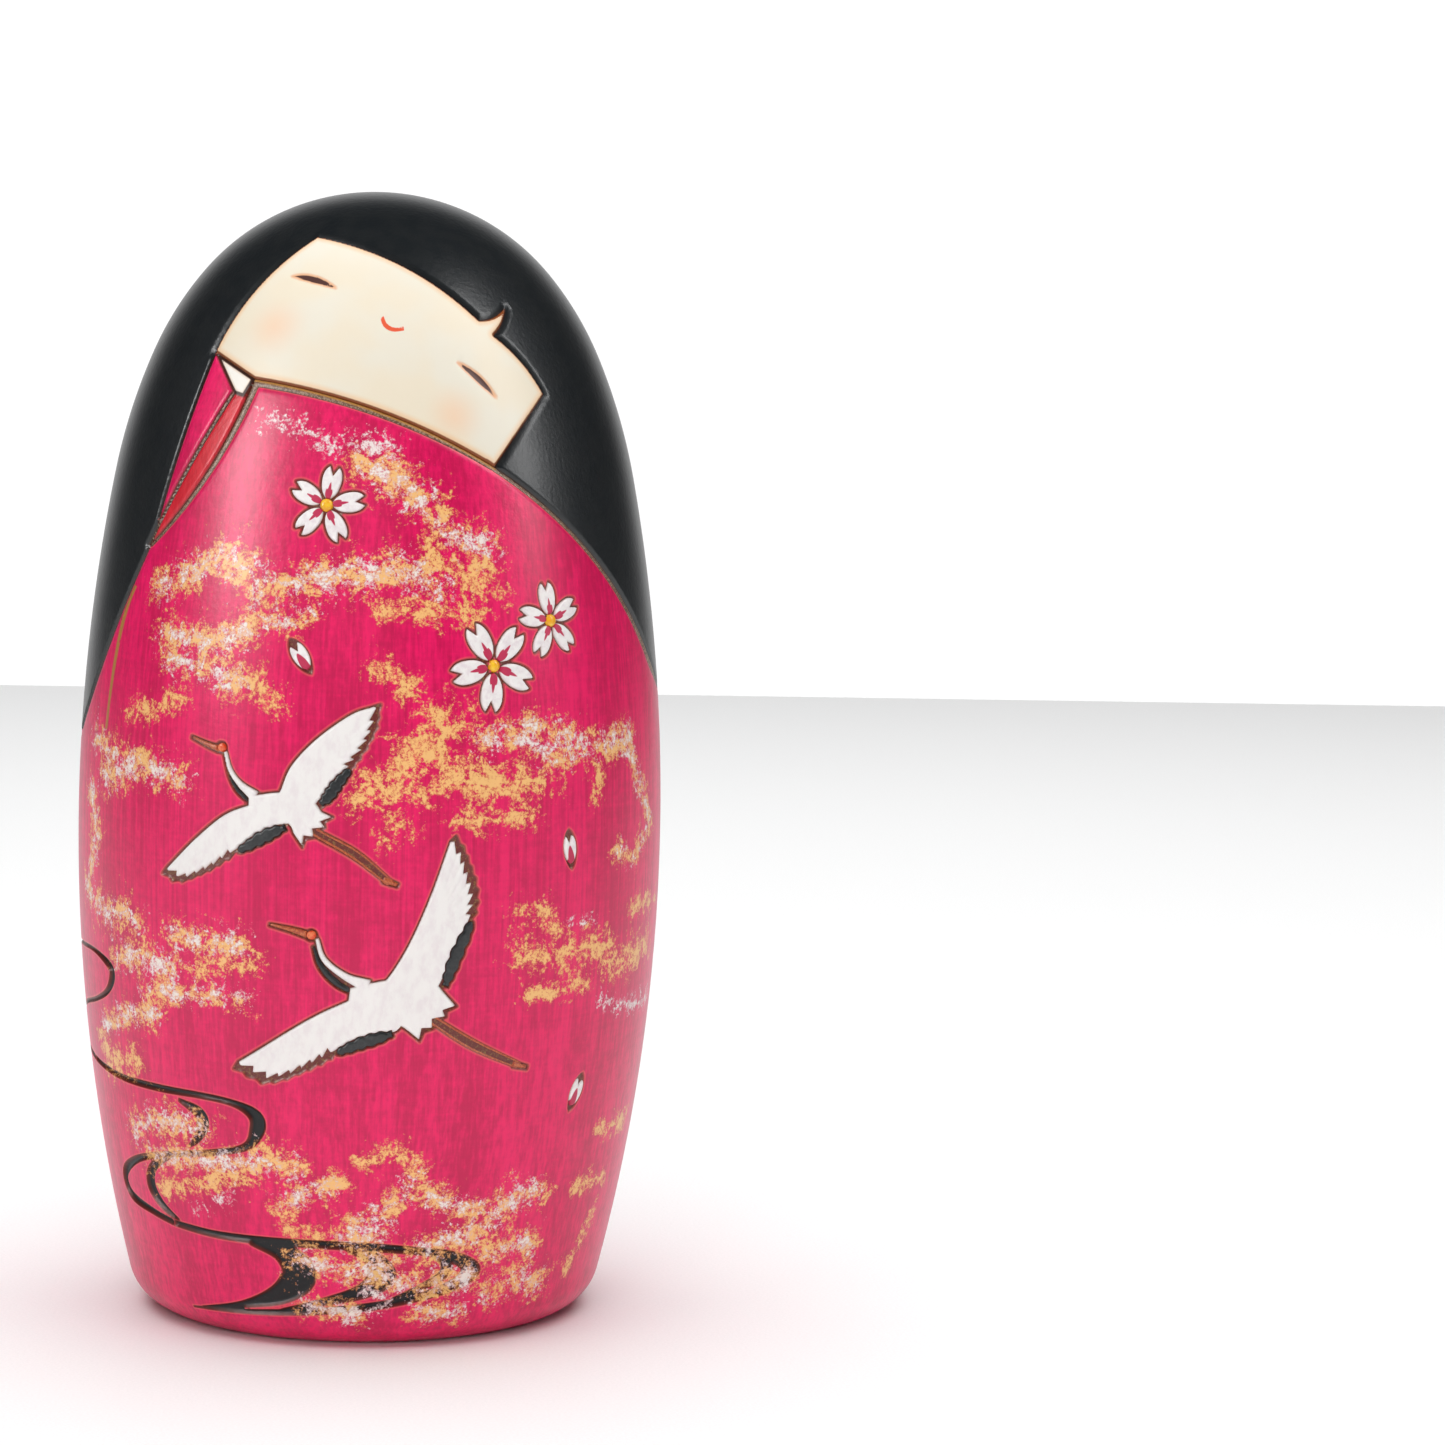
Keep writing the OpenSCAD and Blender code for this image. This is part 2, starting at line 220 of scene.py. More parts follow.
def shifted(a, s):
    return (a[0] + s[0], a[1] + s[1])


def seam(a, c, h, s, s_end=None):
    return np.concatenate([bow(a, c, h), bow(shifted(c, s_end or s), shifted(a, s), -h)])


face_poly = np.concatenate(
    [bow(FACE_TOP, FACE_NOTCH, 1.8), bow(FACE_NOTCH, LOCK_TIP, -0.5, 6), bow(LOCK_TIP, LOCK_END, 0.4, 6),
     bow(LOCK_END, FACE_RIGHT, 0.6), bow(FACE_LOW, FACE_CHIN, -1.8, 24), bow(FACE_LEFT, FACE_TOP, 1.5)])
neck_poly = P(FACE_LEFT, FACE_CHIN, (-17.6, 127.4), NECK_LOW)
lining_poly = np.concatenate([bow(NECK_LOW, LINING_END, -0.4), bow(LINING_END, FACE_CHIN, -1.2)])
under_poly = np.concatenate([P(FACE_LEFT), bow(NECK_LOW, LINING_END, -0.4), bow(HAIR_FORK, FACE_LEFT, 0.4)])
edge_polys = [seam(FACE_CHIN, FACE_LOW, 1.8, (-0.2, -1.0), (-0.35, -0.5)),
    seam(LINING_END, FACE_CHIN, -1.2, (0.4, -0.1), (0.75, -0.6)),
              seam(NECK_LOW, LINING_END, -0.4, (-0.42, 0.0), (-0.3, 0.0))]
long_edge = bow(FACE_LOW, HAIR_RIGHT, 4.6, 40)
edge_drop = np.clip((39.8 - long_edge[:, :1]) / 1.5, 0, 1) * (-0.4, -0.45)
edge_polys.append(np.concatenate([long_edge, (long_edge + edge_drop)[::-1]]))
hair_poly = np.concatenate(
    [P((-FAR, 170), (-FAR, 78)), bow(HAIR_LEFT, LINING_END, 0.6), bow(HAIR_FORK, FACE_LEFT, 0.4),
     P((0, 129), FACE_LOW), bow(FACE_LOW, HAIR_RIGHT, 4.6), P((FAR, 83), (FAR, 170))])
back_poly = np.concatenate(
    [P((-FAR, 170), (-FAR, 87.2)), bend((-39.8, 87), (-31, 56), HAIR_BACK, 24),
     bend(HAIR_BACK, (30, 56), (40.15, 80.2), 24), P((FAR, 80.4), (FAR, 170))])

# %% [markdown]
# ## The cranes
# A crane is a body, two wings, a neck, a beak and trailing legs. A wing is one smooth leading edge, a row of
# pointed feather tips, and a trailing edge. The thin parts are brush strokes: a smooth line through a few
# points, each with a width. All numbers are (across, up) from the crane's breast.


# %% Smooth lines, brush strokes and feathers
def smooth(points, n=6):
    """A curve through the points. Extra columns, such as a width, run smoothly too."""
    q = np.array(points, float)
    q = np.concatenate([[2 * q[0] - q[1]], q, [2 * q[-1] - q[-2]]])
    t = np.linspace(0, 1, n, endpoint=False)[:, None]
    parts = [0.5 * (2 * b + (c - a) * t + (2 * a - 5 * b + 4 * c - d) * t ** 2 + (3 * b - a - 3 * c + d) * t ** 3)
             for a, b, c, d in zip(q[:-3], q[1:-2], q[2:-1], q[3:])]
    return np.concatenate(parts + [q[-2:-1]])


def brushed(points, n=6, ripple=0.0):
    line = smooth(points, n)
    half = line[:, 2].clip(0.1)[:, None] / 2
    if ripple:
        half = half + ripple * np.abs(np.sin(np.linspace(0, 5.5 * np.pi, len(line))))[:, None]
    line = line[:, :2]
    return np.concatenate([line + sides(line) * half, (line - sides(line) * half)[::-1]])


def feathers(tips, hub, notch, reach=0.0):
    """Pointed tips with notches between them. `reach` moves the whole row outwards."""
    tips, hub = np.array(tips, float), P(*hub)
    out = tips - hub
    out /= np.linalg.norm(out, axis=1)[:, None]
    rows = []
    for i, tip in enumerate(tips):
        rows.append(tip + reach * out[i])
        if i + 1 < len(tips):
            rows.append(tip * 0.45 + tips[i + 1] * 0.55 + (reach - notch) * out[i])
    return np.array(rows)


# %% [markdown]
# ## Cranes
# Each of the two birds has its own points, in millimetres from its own origin, because a mirrored or repeated
# bird would look stamped.

# %% Outlines of the cranes
CRANE_AT = ((-14.2, 73.6), (8.1, 49.0))
CRANES = (
    {"up": (((-3.4, 1.4), (-2.2, 2.6), (-0.8, 5.9), (2.4, 9.5), (6.9, 12.9), (10.0, 14.1)),
            ((10.2, 13.8), (10.0, 12.2), (9.8, 11.0), (9.2, 9.7), (8.5, 8.4), (7.6, 7.1), (6.9, 6.2)), (2.6, 6.5),
            ((6.7, 6.0), (5.2, 4.7), (4.0, 3.0), (2.9, 1.4), (1.2, 0.0))),
     "low": (((-4.4, 1.4), (-6.4, 0.6), (-10.1, -1.0), (-14.4, -4.5), (-18.7, -8.7)),
             ((-18.8, -9.2), (-17.3, -9.9), (-15.8, -9.8), (-14.4, -9.2), (-13.0, -8.5), (-11.7, -7.8),
             (-10.4, -6.9), (-9.2, -6.0)), (-9, -2.5),
             ((-8.1, -5.3), (-6.4, -3.8), (-4.6, -2.8), (-2.6, -1.9), (-0.9, -1.5), (0, 0))),
     "body": (((-6.6, 1.7), (-3.0, 2.4), (0.0, 2.4), (2.4, 1.4), (3.5, 0.1)),
     ((4.9, -0.5), (3.9, -1.9), (2.5, -3.2), (1.0, -4.5)), (0.2, 0.2),
              ((-0.2, -2.9), (-1.0, -1.6), (-4.0, -0.2), (-6.6, 0.5))),
     "black": (((7.1, 5.8, 0.4), (6.1, 4.6, 1.0), (5.1, 3.3, 1.3), (4.3, 2.1, 1.2), (3.3, 1.1, 0.5)),
               ((-8.0, -5.6, 0.4), (-6.5, -4.8, 1.0), (-4.7, -3.7, 1.4), (-2.9, -2.8, 1.2), (-1.3, -2.1, 0.4))),
     "throat": ((-9.9, 6.2, 0.25), (-9.1, 4.1, 0.6), (-7.8, 2.3, 0.8), (-5.9, 0.8, 0.5)),
     "nape": ((-10.1, 7.4, 0.5), (-9.3, 5.0, 0.65), (-7.8, 3.2, 0.9), (-5.6, 1.7, 1.6)),
     "crest": (-10.6, 7.9), "beak": ((-11.0, 7.7, 0.95), (-12.6, 8.1, 0.65), (-15.1, 8.95, 0.3)),
     "legs": (((2.8, -2.2, 0.3), (8.3, -5.0, 0.34), (12.9, -8.9, 0.3)),
     ((2.4, -2.9, 0.3), (7.6, -5.8, 0.34), (12.3, -9.5, 0.3))),
     "foot": ((11.6, -8.7, 0.8), (13.4, -9.4, 0.5))},
    {"up": (((-5.0, 1.4), (-3.1, 2.8), (-0.3, 7.5), (2.4, 13.8), (4.9, 20.9)),
            ((5.5, 20.9), (6.4, 19.5), (6.9, 18.2), (7.4, 16.8), (7.9, 15.4), (8.2, 13.9), (8.2, 12.4),
            (7.9, 11.1)), (2.4, 9),
            ((7.5, 10.1), (6.2, 7.6), (5.1, 5.1), (4.2, 2.6), (3.0, 0.4))),
     "low": (((-5.5, 1.3), (-7.4, 0.1), (-11.6, -2.0), (-15.6, -4.6), (-21.8, -9.3)),
             ((-21.7, -9.9), (-20.1, -10.7), (-18.4, -11.4), (-16.9, -11.1), (-15.4, -10.5), (-14.0, -9.7),
             (-12.7, -9.0), (-11.4, -8.2), (-10.3, -7.4)), (-11, -2.5),
             ((-9.6, -7.0), (-7.9, -5.8), (-6.2, -5.1), (-4.0, -4.6), (-1.6, -4.2), (0, -1))),
     "body": (((-8.0, 1.4), (-4.0, 2.4), (0.0, 2.8), (3.0, 2.2), (4.6, 0.6)),
     ((6.1, -1.1), (4.7, -2.5), (3.0, -4.0), (1.3, -5.6)), (0.6, 0.2),
              ((-0.2, -4.4), (-1.4, -3.6), (-5.0, -2.0), (-8.2, -0.4))),
     "black": (((8.0, 10.2, 0.4), (7.3, 8.5, 1.0), (6.4, 6.6, 1.3), (5.6, 4.6, 1.3), (5.0, 2.9, 1.0),
     (4.6, 1.6, 0.4)),
               ((-9.5, -7.4, 0.4), (-8.0, -6.7, 1.0), (-6.1, -5.9, 1.3), (-4.2, -5.3, 1.2), (-2.3, -4.7, 0.4))),
     "throat": ((-12.8, 6.9, 0.25), (-11.8, 4.3, 0.7), (-9.8, 2.1, 0.85), (-7.1, 0.6, 0.5)),
     "nape": ((-12.4, 7.9, 0.5), (-11.4, 5.1, 0.75), (-8.6, 2.9, 1.0), (-5.6, 1.7, 1.8)),
     "crest": (-13.1, 8.35), "beak": ((-13.6, 8.4, 0.95), (-15.8, 9.0, 0.65), (-18.3, 9.5, 0.3)),
     "legs": (((3.4, -2.6, 0.3), (9.0, -6.0, 0.34), (15.7, -9.5, 0.3)),
     ((2.9, -3.4, 0.3), (8.3, -7.0, 0.34), (15.1, -10.2, 0.3))),
     "foot": ((14.5, -9.6, 0.8), (16.5, -10.2, 0.5))},
)


def disc(at, r, n=24):
    a = np.linspace(0, 2 * np.pi, n, endpoint=False)
    return P(*at) + r * np.stack([np.cos(a), np.sin(a)], 1)


def feathered(lead, tips, hub, trail, notch=0.95, reach=0.0):
    return np.concatenate([smooth(lead), feathers(tips, hub, notch, reach), smooth(trail)])


def crane_hull(c):
    """The ground that is burnt in first: wider than the white, most of all past the feather tips."""
    k = CRANES[c]
    legs = np.mean(np.array(k["legs"]), axis=0)
    legs[:, 2] = (1.0, 1.1, 0.6)
    return ([feathered(*k[w], notch=0.35, reach=0.75) for w in ("up", "low")] + [feathered(*k["body"], notch=0.6,
        reach=0.1)]
            + [brushed(b, ripple=0.2) for b in k["black"]] + [brushed(k[n]) for n in ("throat", "nape", "beak",
                "foot")]
            + [brushed(legs), disc(k["crest"], 0.7)])


# %% [markdown]
# ## Blossoms and loose petals
# A cherry petal is a leaf with a small notch at its tip. Five of them make a blossom.


# %% Outlines of the blossoms
def petal(r, wide=0.26):
    half = np.concatenate([bend((0.14 * r, 0.02 * r), (0.3 * r, wide * 1.05 * r), (0.7 * r, wide * r), 8)[:-1],
                           bend((0.7 * r, wide * r), (0.9 * r, wide * 0.95 * r), (r, 0.12 * r), 6),
                           P((0.76 * r, 0))])
    return np.concatenate([half, (half * (1, -1))[-2:0:-1]])


BLOSSOMS = {"left": (-10.2, 113.7, 5.1, 80), "middle": (24, 92.9, 6.1, 48), "right": (37.6, 98.6, 5.1, 97)}
FALLEN = {"upper": (-14.3, 94.2, 125), "middle": (41.2, 68.3, 98), "lower": (47.6, 34.6, 68)}


def blossom_petals(r, spin):
    return [turned(petal(r), spin + 72 * i) for i in range(5)]


def fallen_petal(spin):
    return [turned(petal(4.6, 0.24), spin, turned(P((-3.0, 0)), spin)[0])]


def fallen_hull(spin):
    return [turned(leaf((-3.1, 0), (0, 0), (2.5, 0), 2.3, 16, 0.7), spin)]


# %% [markdown]
# ## The stream
# The stream is a set of cut channels that swing from side to side, with a dark pool at each bend. It is
# drawn in turns and heights, and unrolled onto three papers round the left side.

# %% Outlines of the stream
def on_paper(turn, pts):
    z = np.array([p[1] for p in pts], float)
    return np.stack([radius_at(z) * np.sin(np.radians([p[0] - turn for p in pts])), z], 1)


def flows(turn, *strokes):
    return [brushed(np.column_stack([on_paper(turn, k), [1.25 * p[2] for p in k]])) for k in strokes]


STREAMS = {
    "upper": (-80, flows(-80, ((-92, 50.6, 0.5), (-80, 51.2, 0.55), (-69.3, 51.3, 0.6), (-61.9, 50.0, 1.1),
        (-60.6, 48.4, 1.3), (-63.6, 46.1, 0.8),
                               (-70.3, 44.4, 0.6), (-80.5, 42.9, 0.6), (-88, 41, 0.8), (-90, 38, 0.9),
                               (-85, 36.4, 0.8), (-75.8, 35.6, 0.7)))),
    "middle": (-50, flows(-50, ((-75.8, 35.6, 0.7), (-60.4, 34.7, 0.8), (-47.3, 34.5, 0.9), (-34.6, 34.4, 0.8),
    (-27.1, 33.8, 0.9), (-22.9, 32.4, 1.6),
                                (-22.6, 30.4, 1.6), (-25.3, 28.0, 0.9), (-33.0, 26.7, 0.8), (-45.1, 25.4, 0.8),
                                (-57.1, 23.6, 0.9), (-65.0, 20.8, 1.4),
                                (-63.6, 17.9, 1.3), (-54.5, 16.5, 0.9), (-47.0, 15.6, 0.8)),
                          ((-41.3, 33.4, 0.5), (-36.3, 32.1, 1.4), (-35.3, 30.5, 1.7), (-36.9, 28.4, 1.0),
                          (-39.5, 27.0, 0.4)),
                          ((-45.1, 25.2, 0.5), (-51.5, 23.1, 1.2), (-53.4, 20.4, 1.7), (-50.5, 17.9, 1.2),
                          (-45.0, 16.0, 0.5)))),
    "lower": (-20, flows(-20, ((-47.0, 15.6, 0.8), (-35.3, 15.1, 0.9), (-23.5, 15.0, 1.0), (-12.0, 15.0, 1.0),
    (-0.3, 14.8, 1.1), (11.6, 14.1, 1.0),
                               (19.0, 13.2, 1.3), (24.6, 11.2, 1.7), (21.5, 9.1, 1.4), (12.3, 7.4, 1.0),
                               (-0.1, 6.1, 1.0), (-12.6, 5.3, 0.9),
                               (-26.2, 4.6, 0.7), (-45.7, 3.8, 0.3)),
                         ((-26.1, 14.7, 0.8), (-18.6, 13.6, 2.4), (-14.9, 10.7, 4.0), (-19.3, 7.7, 2.6),
                         (-28.8, 5.6, 1.0), (-42.3, 4.0, 0.4)),
                         ((-4.1, 14.6, 0.7), (1.3, 13.3, 1.8), (3.8, 10.8, 3.0), (-0.1, 8.5, 1.8), (-9.2, 6.8, 1.0),
                         (-19.6, 5.2, 0.5)),
                         ((14.0, 13.9, 0.5), (18.3, 12.2, 1.1), (18.0, 10.5, 1.1), (12.8, 8.8, 0.8),
                         (6.5, 7.2, 0.5)))),
}

# %% [markdown]
# ## Which field is a point in?
# The list below is the order in which the cut-outs are laid down. `grow` widens an outline, which leaves
# room for the burnt line round a bird or a blossom.

# %% Lay the cut-outs
FIELDS = [("kimono", 0, 0, None, 0), ("hair", 0, 0, [hair_poly], 0), ("hair", 180, 0, [back_poly], 0),
          ("under_kimono", 0, 0, [under_poly], 0), ("collar_lining", 0, 0, [lining_poly], 0),
          ("neck_collar", 0, 0, [neck_poly], 0), ("collar_edge", 0, 0, edge_polys, 0),
          ("face", 0, 0, [face_poly], 0)]
FIELDS += [("stream_" + k, t, 0, polys, 0) for k, (t, polys) in STREAMS.items()]
FIELDS += [("crane_" + n, *CRANE_AT[c], crane_hull(c), 0.3) for c, n in enumerate(("upper", "lower"))]
FIELDS += [("blossom_" + n, t, z, blossom_petals(r, s), 0.3) for n, (t, z, r, s) in BLOSSOMS.items()]
FIELDS += [("fallen_petal_" + n, t, z, fallen_hull(s), 0.15) for n, (t, z, s) in FALLEN.items()]
NAMES = list(dict.fromkeys(f[0] for f in FIELDS))


def reach_of(polys, grow):
    every = np.concatenate(polys)
    return every.min(0) - grow - 0.5, every.max(0) + grow + 0.5


def field_of(p):
    ids = np.zeros(len(p), int)
    for name, turn, height, polys, grow in FIELDS[1:]:
        q, out = to_flat(p, turn, height)
        lo, hi = reach_of(polys, grow)
        near = np.where((out > -1e-6) & (q > lo).all(1) & (q < hi).all(1))[0]
        ids[near[signed(q[near], polys) < grow]] = NAMES.index(name)
    return ids


# %% [markdown]
# ## The cut lines
# Points are laid every 0.08 mm along every outline, pushed out by `grow`, and kept only where the field
# really changes. They serve as the knife: the mesh is refined near them, and its vertices are drawn to them.


# %% Find the cut lines
def line_points(turn, height, polys, grow):
    found = []
    for poly in polys:
        a, b = poly, np.roll(poly, -1, 0)
        for p0, p1 in zip(a, b):
            length = np.hypot(*(p1 - p0))
            if length < 1e-6:
                continue
            t = (np.arange(max(1, round(length / 0.08))) + 0.5)[:, None] / max(1, round(length / 0.08))
            n = P(-(p1 - p0)[1], (p1 - p0)[0]) / length
            mid = p0 + t * (p1 - p0)
            found += [mid + n * grow, mid - n * grow] if grow else [mid]
        if grow:
            found += [disc(v, grow, 30) for v in poly]
    q = np.concatenate(found)
    if grow:
        q = q[np.abs(signed(q, polys) - grow) < 0.01]
    z = q[:, 1] + height
    return q[(np.abs(q[:, 0]) < radius_at(z) - 0.01) & (z > 0.2) & (z < HEIGHT - 1)]


def cut_lines():
    points, pairs = [], []
    for name, turn, height, polys, grow in FIELDS[1:]:
        q = line_points(turn, height, polys, grow)
        d = np.stack([signed(q + e, polys) - signed(q - e, polys) for e in (P(0.02, 0), P(0, 0.02))], 1)
        d /= np.maximum(np.hypot(d[:, 0], d[:, 1]), 1e-9)[:, None]
        one = field_of(to_skin(q + 0.06 * d, turn, height))
        two = field_of(to_skin(q - 0.06 * d, turn, height))
        keep = one != two
        points.append(to_skin(q[keep], turn, height))
        pairs.append(np.sort(np.stack([one[keep], two[keep]], 1), 1))
    return np.concatenate(points), np.concatenate(pairs)


cut, cut_pair = cut_lines()
print("cut line points", len(cut))


def tree_of(points):
    tree = kdtree.KDTree(len(points))
    for i, p in enumerate(points):
        tree.insert(p, i)
    tree.balance()
    return tree


cut_tree = tree_of(cut)


def distances(points, tree, far=9.0):
    return np.array([d if (d := tree.find(p)[2]) is not None else far for p in points])


# %% [markdown]
# ## The small marks on the face
# Eyes and mouth are too fine to be cut as fields. They are kept as distances on the face's vertices, and
# the paint reads them. The mesh is refined a third time around them.

# %% Marks on the face
EYES = [leaf((-11.5, 143.3), (-8.6, 143.35), (-5.6, 141.9), 0.78, 16, 0.9),
    leaf((10.6, 132.5), (13.3, 130.8), (15.8, 127.9), 0.74, 16, 0.9)]
MOUTH = [brushed(((0.5, 138.3, 0.45), (0.95, 137.2, 0.55), (2.0, 136.65, 0.55), (3.5, 136.8, 0.5)))]
FOLD = [strip((-31.9, 101.6), (-34.4, 96.5), (-35.8, 81.8), 0.4, 0.2)]
marks = to_skin(np.concatenate([*EYES, *MOUTH, *FOLD]), 0, 0)
marks_tree = tree_of(marks)

# %% [markdown]
# ## Turn the skin and cut it
# The template is spun once round the axis. Faces near a cut line are divided, and each vertex on the
# boundary between two fields is drawn onto the line itself, so the colours meet in a clean edge.


# %% Spin the skin
def refine(bm, tree, distance):
    bm.faces.ensure_lookup_table()
    near = [f for f in bm.faces if (d := tree.find(f.calc_center_median())[2]) is not None and d < distance]
    edges = list({e for f in near for e in f.edges})
    bmesh.ops.subdivide_edges(bm, edges=edges, cuts=1, use_grid_fill=True)


def coords(bm):
    return np.array([v.co[:] for v in bm.verts])


def put(bm, p):
    for v, c in zip(bm.verts, p):
        v.co = c


skin = template
bmesh.ops.spin(skin, geom=skin.verts[:] + skin.edges[:], cent=(0, 0, 0), axis=(0, 0, 1), angle=2 * math.pi,
    steps=240, use_merge=True)
bmesh.ops.remove_doubles(skin, verts=skin.verts, dist=1e-4)
for tree, distance in ((cut_tree, 2.0), (cut_tree, 1.1), (marks_tree, 0.7)):
    refine(skin, tree, distance)
    put(skin, onto_skin(coords(skin)))
bmesh.ops.recalc_face_normals(skin, faces=skin.faces)
print("skin faces", len(skin.faces))


# %% [markdown]
# ## Crisp edges
# A mesh cuts a drawn line into steps. Moving the nearest points of the skin onto the line removes the steps
# without making the whole skin finer.

# %% Draw the boundaries to the lines
def face_fields(bm):
    return field_of(onto_skin(np.array([f.calc_center_median()[:] for f in bm.faces])))


ids = face_fields(skin)
skin.faces.index_update()
skin.verts.index_update()
boundary = [v for v in skin.verts if len({ids[f.index] for f in v.link_faces}) > 1]
for v in boundary:
    at, _, d = cut_tree.find(v.co)
    if d < 0.5:
        v.co = at
ring = list({o for v in boundary for e in v.link_edges for o in e.verts} - set(boundary))
bmesh.ops.smooth_vert(skin, verts=ring, factor=0.4, use_axis_x=True, use_axis_y=True, use_axis_z=True)
flat = onto_skin(coords(skin))
print("vertices on a line", len(boundary))

# %% [markdown]
# ## Depth of the lines
# A burnt line is a V cut with one steep and one gentle side: the hair dips in a broad bevel to the face,
# while the face keeps its level right up to the edge. Inside the birds, blossoms and stream the ground
# is sunk. Each rule is (field, neighbour): (depth on the line, how far the slope reaches).

# %% Sink the grooves
GROOVE = {("hair", "face"): (0.4, 1.0), ("face", "hair"): (0.42, 0.14), ("face", "collar_edge"): (0.4, 0.16),
          ("collar_edge", "face"): (0.4, 0.45), ("collar_edge", "kimono"): (0.12, 0.3),
          ("kimono", "collar_edge"): (0.12, 0.5),
          ("hair", "collar_edge"): (0.4, 0.5), ("collar_edge", "hair"): (0.4, 0.6),
          ("hair", "under_kimono"): (0.35, 0.3),
          ("under_kimono", "hair"): (0.35, 0.8), ("hair", "kimono"): (0.4, 0.25), ("kimono", "hair"): (0.4, 1.2),
          ("face", "neck_collar"): (0.35, 0.2), ("neck_collar", "face"): (0.35, 0.5),
          ("neck_collar", "collar_edge"): (0.3, 0.4),
          ("collar_edge", "neck_collar"): (0.3, 0.3), ("under_kimono", "collar_edge"): (0.3, 0.4),
          ("collar_edge", "under_kimono"): (0.3, 0.25),
          ("collar_lining", "collar_edge"): (0.35, 0.4), ("collar_edge", "collar_lining"): (0.35, 0.3),
          ("neck_collar", "under_kimono"): (0.35, 0.4), ("under_kimono", "neck_collar"): (0.35, 0.4),
          ("neck_collar", "hair"): (0.35, 0.3), ("hair", "neck_collar"): (0.42, 1.2)}
SUNK = {"stream": (0.5, 0.5), "crane": (0.3, 0.25), "blossom": (0.3, 0.2), "fallen": (0.25, 0.2)}


def owner_of_verts(bm, ids):
    own = np.zeros(len(bm.verts), int)
    for v in bm.verts:
        own[v.index] = max(ids[f.index] for f in v.link_faces)
    return own


owner = owner_of_verts(skin, ids)
line_mm = distances(flat, cut_tree)
depth = np.zeros(len(flat))
pair_trees = {}
for i in range(len(NAMES)):
    for j in range(i + 1, len(NAMES)):
        chosen = (cut_pair == (i, j)).all(1)
        if chosen.any():
            pair_trees[i, j] = tree_of(cut[chosen])
own_mm = np.full(len(flat), 9.0)
for (i, j), tree in pair_trees.items():
    for me, other in ((i, j), (j, i)):
        rule = GROOVE.get((NAMES[me], NAMES[other]))
        mine = np.where((owner == me) & (line_mm < 3.0))[0]
        if not len(mine):
            continue
        d = distances(flat[mine], tree)
        own_mm[mine] = np.minimum(own_mm[mine], d)
        if rule:
            fade = np.clip(1 - d / rule[1], 0, 1) ** 1.4
            depth[mine] = np.minimum(depth[mine], -rule[0] * fade)
for name, (low, rise) in SUNK.items():
    mine = np.array([NAMES[o].startswith(name) for o in owner])
    t = np.clip(own_mm[mine] / rise, 0, 1)
    depth[mine] = -low * t * t * (3 - 2 * t)
eyes_d = signed(to_flat(flat, 0, 0)[0], EYES)
on_face = owner == NAMES.index("face")
depth[on_face & (eyes_d < 0.1)] -= 0.12
print("deepest groove", round(float(-depth.min()), 2), "mm")

# %% [markdown]
# ## Clouds of gold and silver
# The clouds are dabbed on with a sponge. Each dab is a short path in turns and heights with a width; what is
# stored on the skin is how close a point is to one, and the paint breaks that up into flecks.

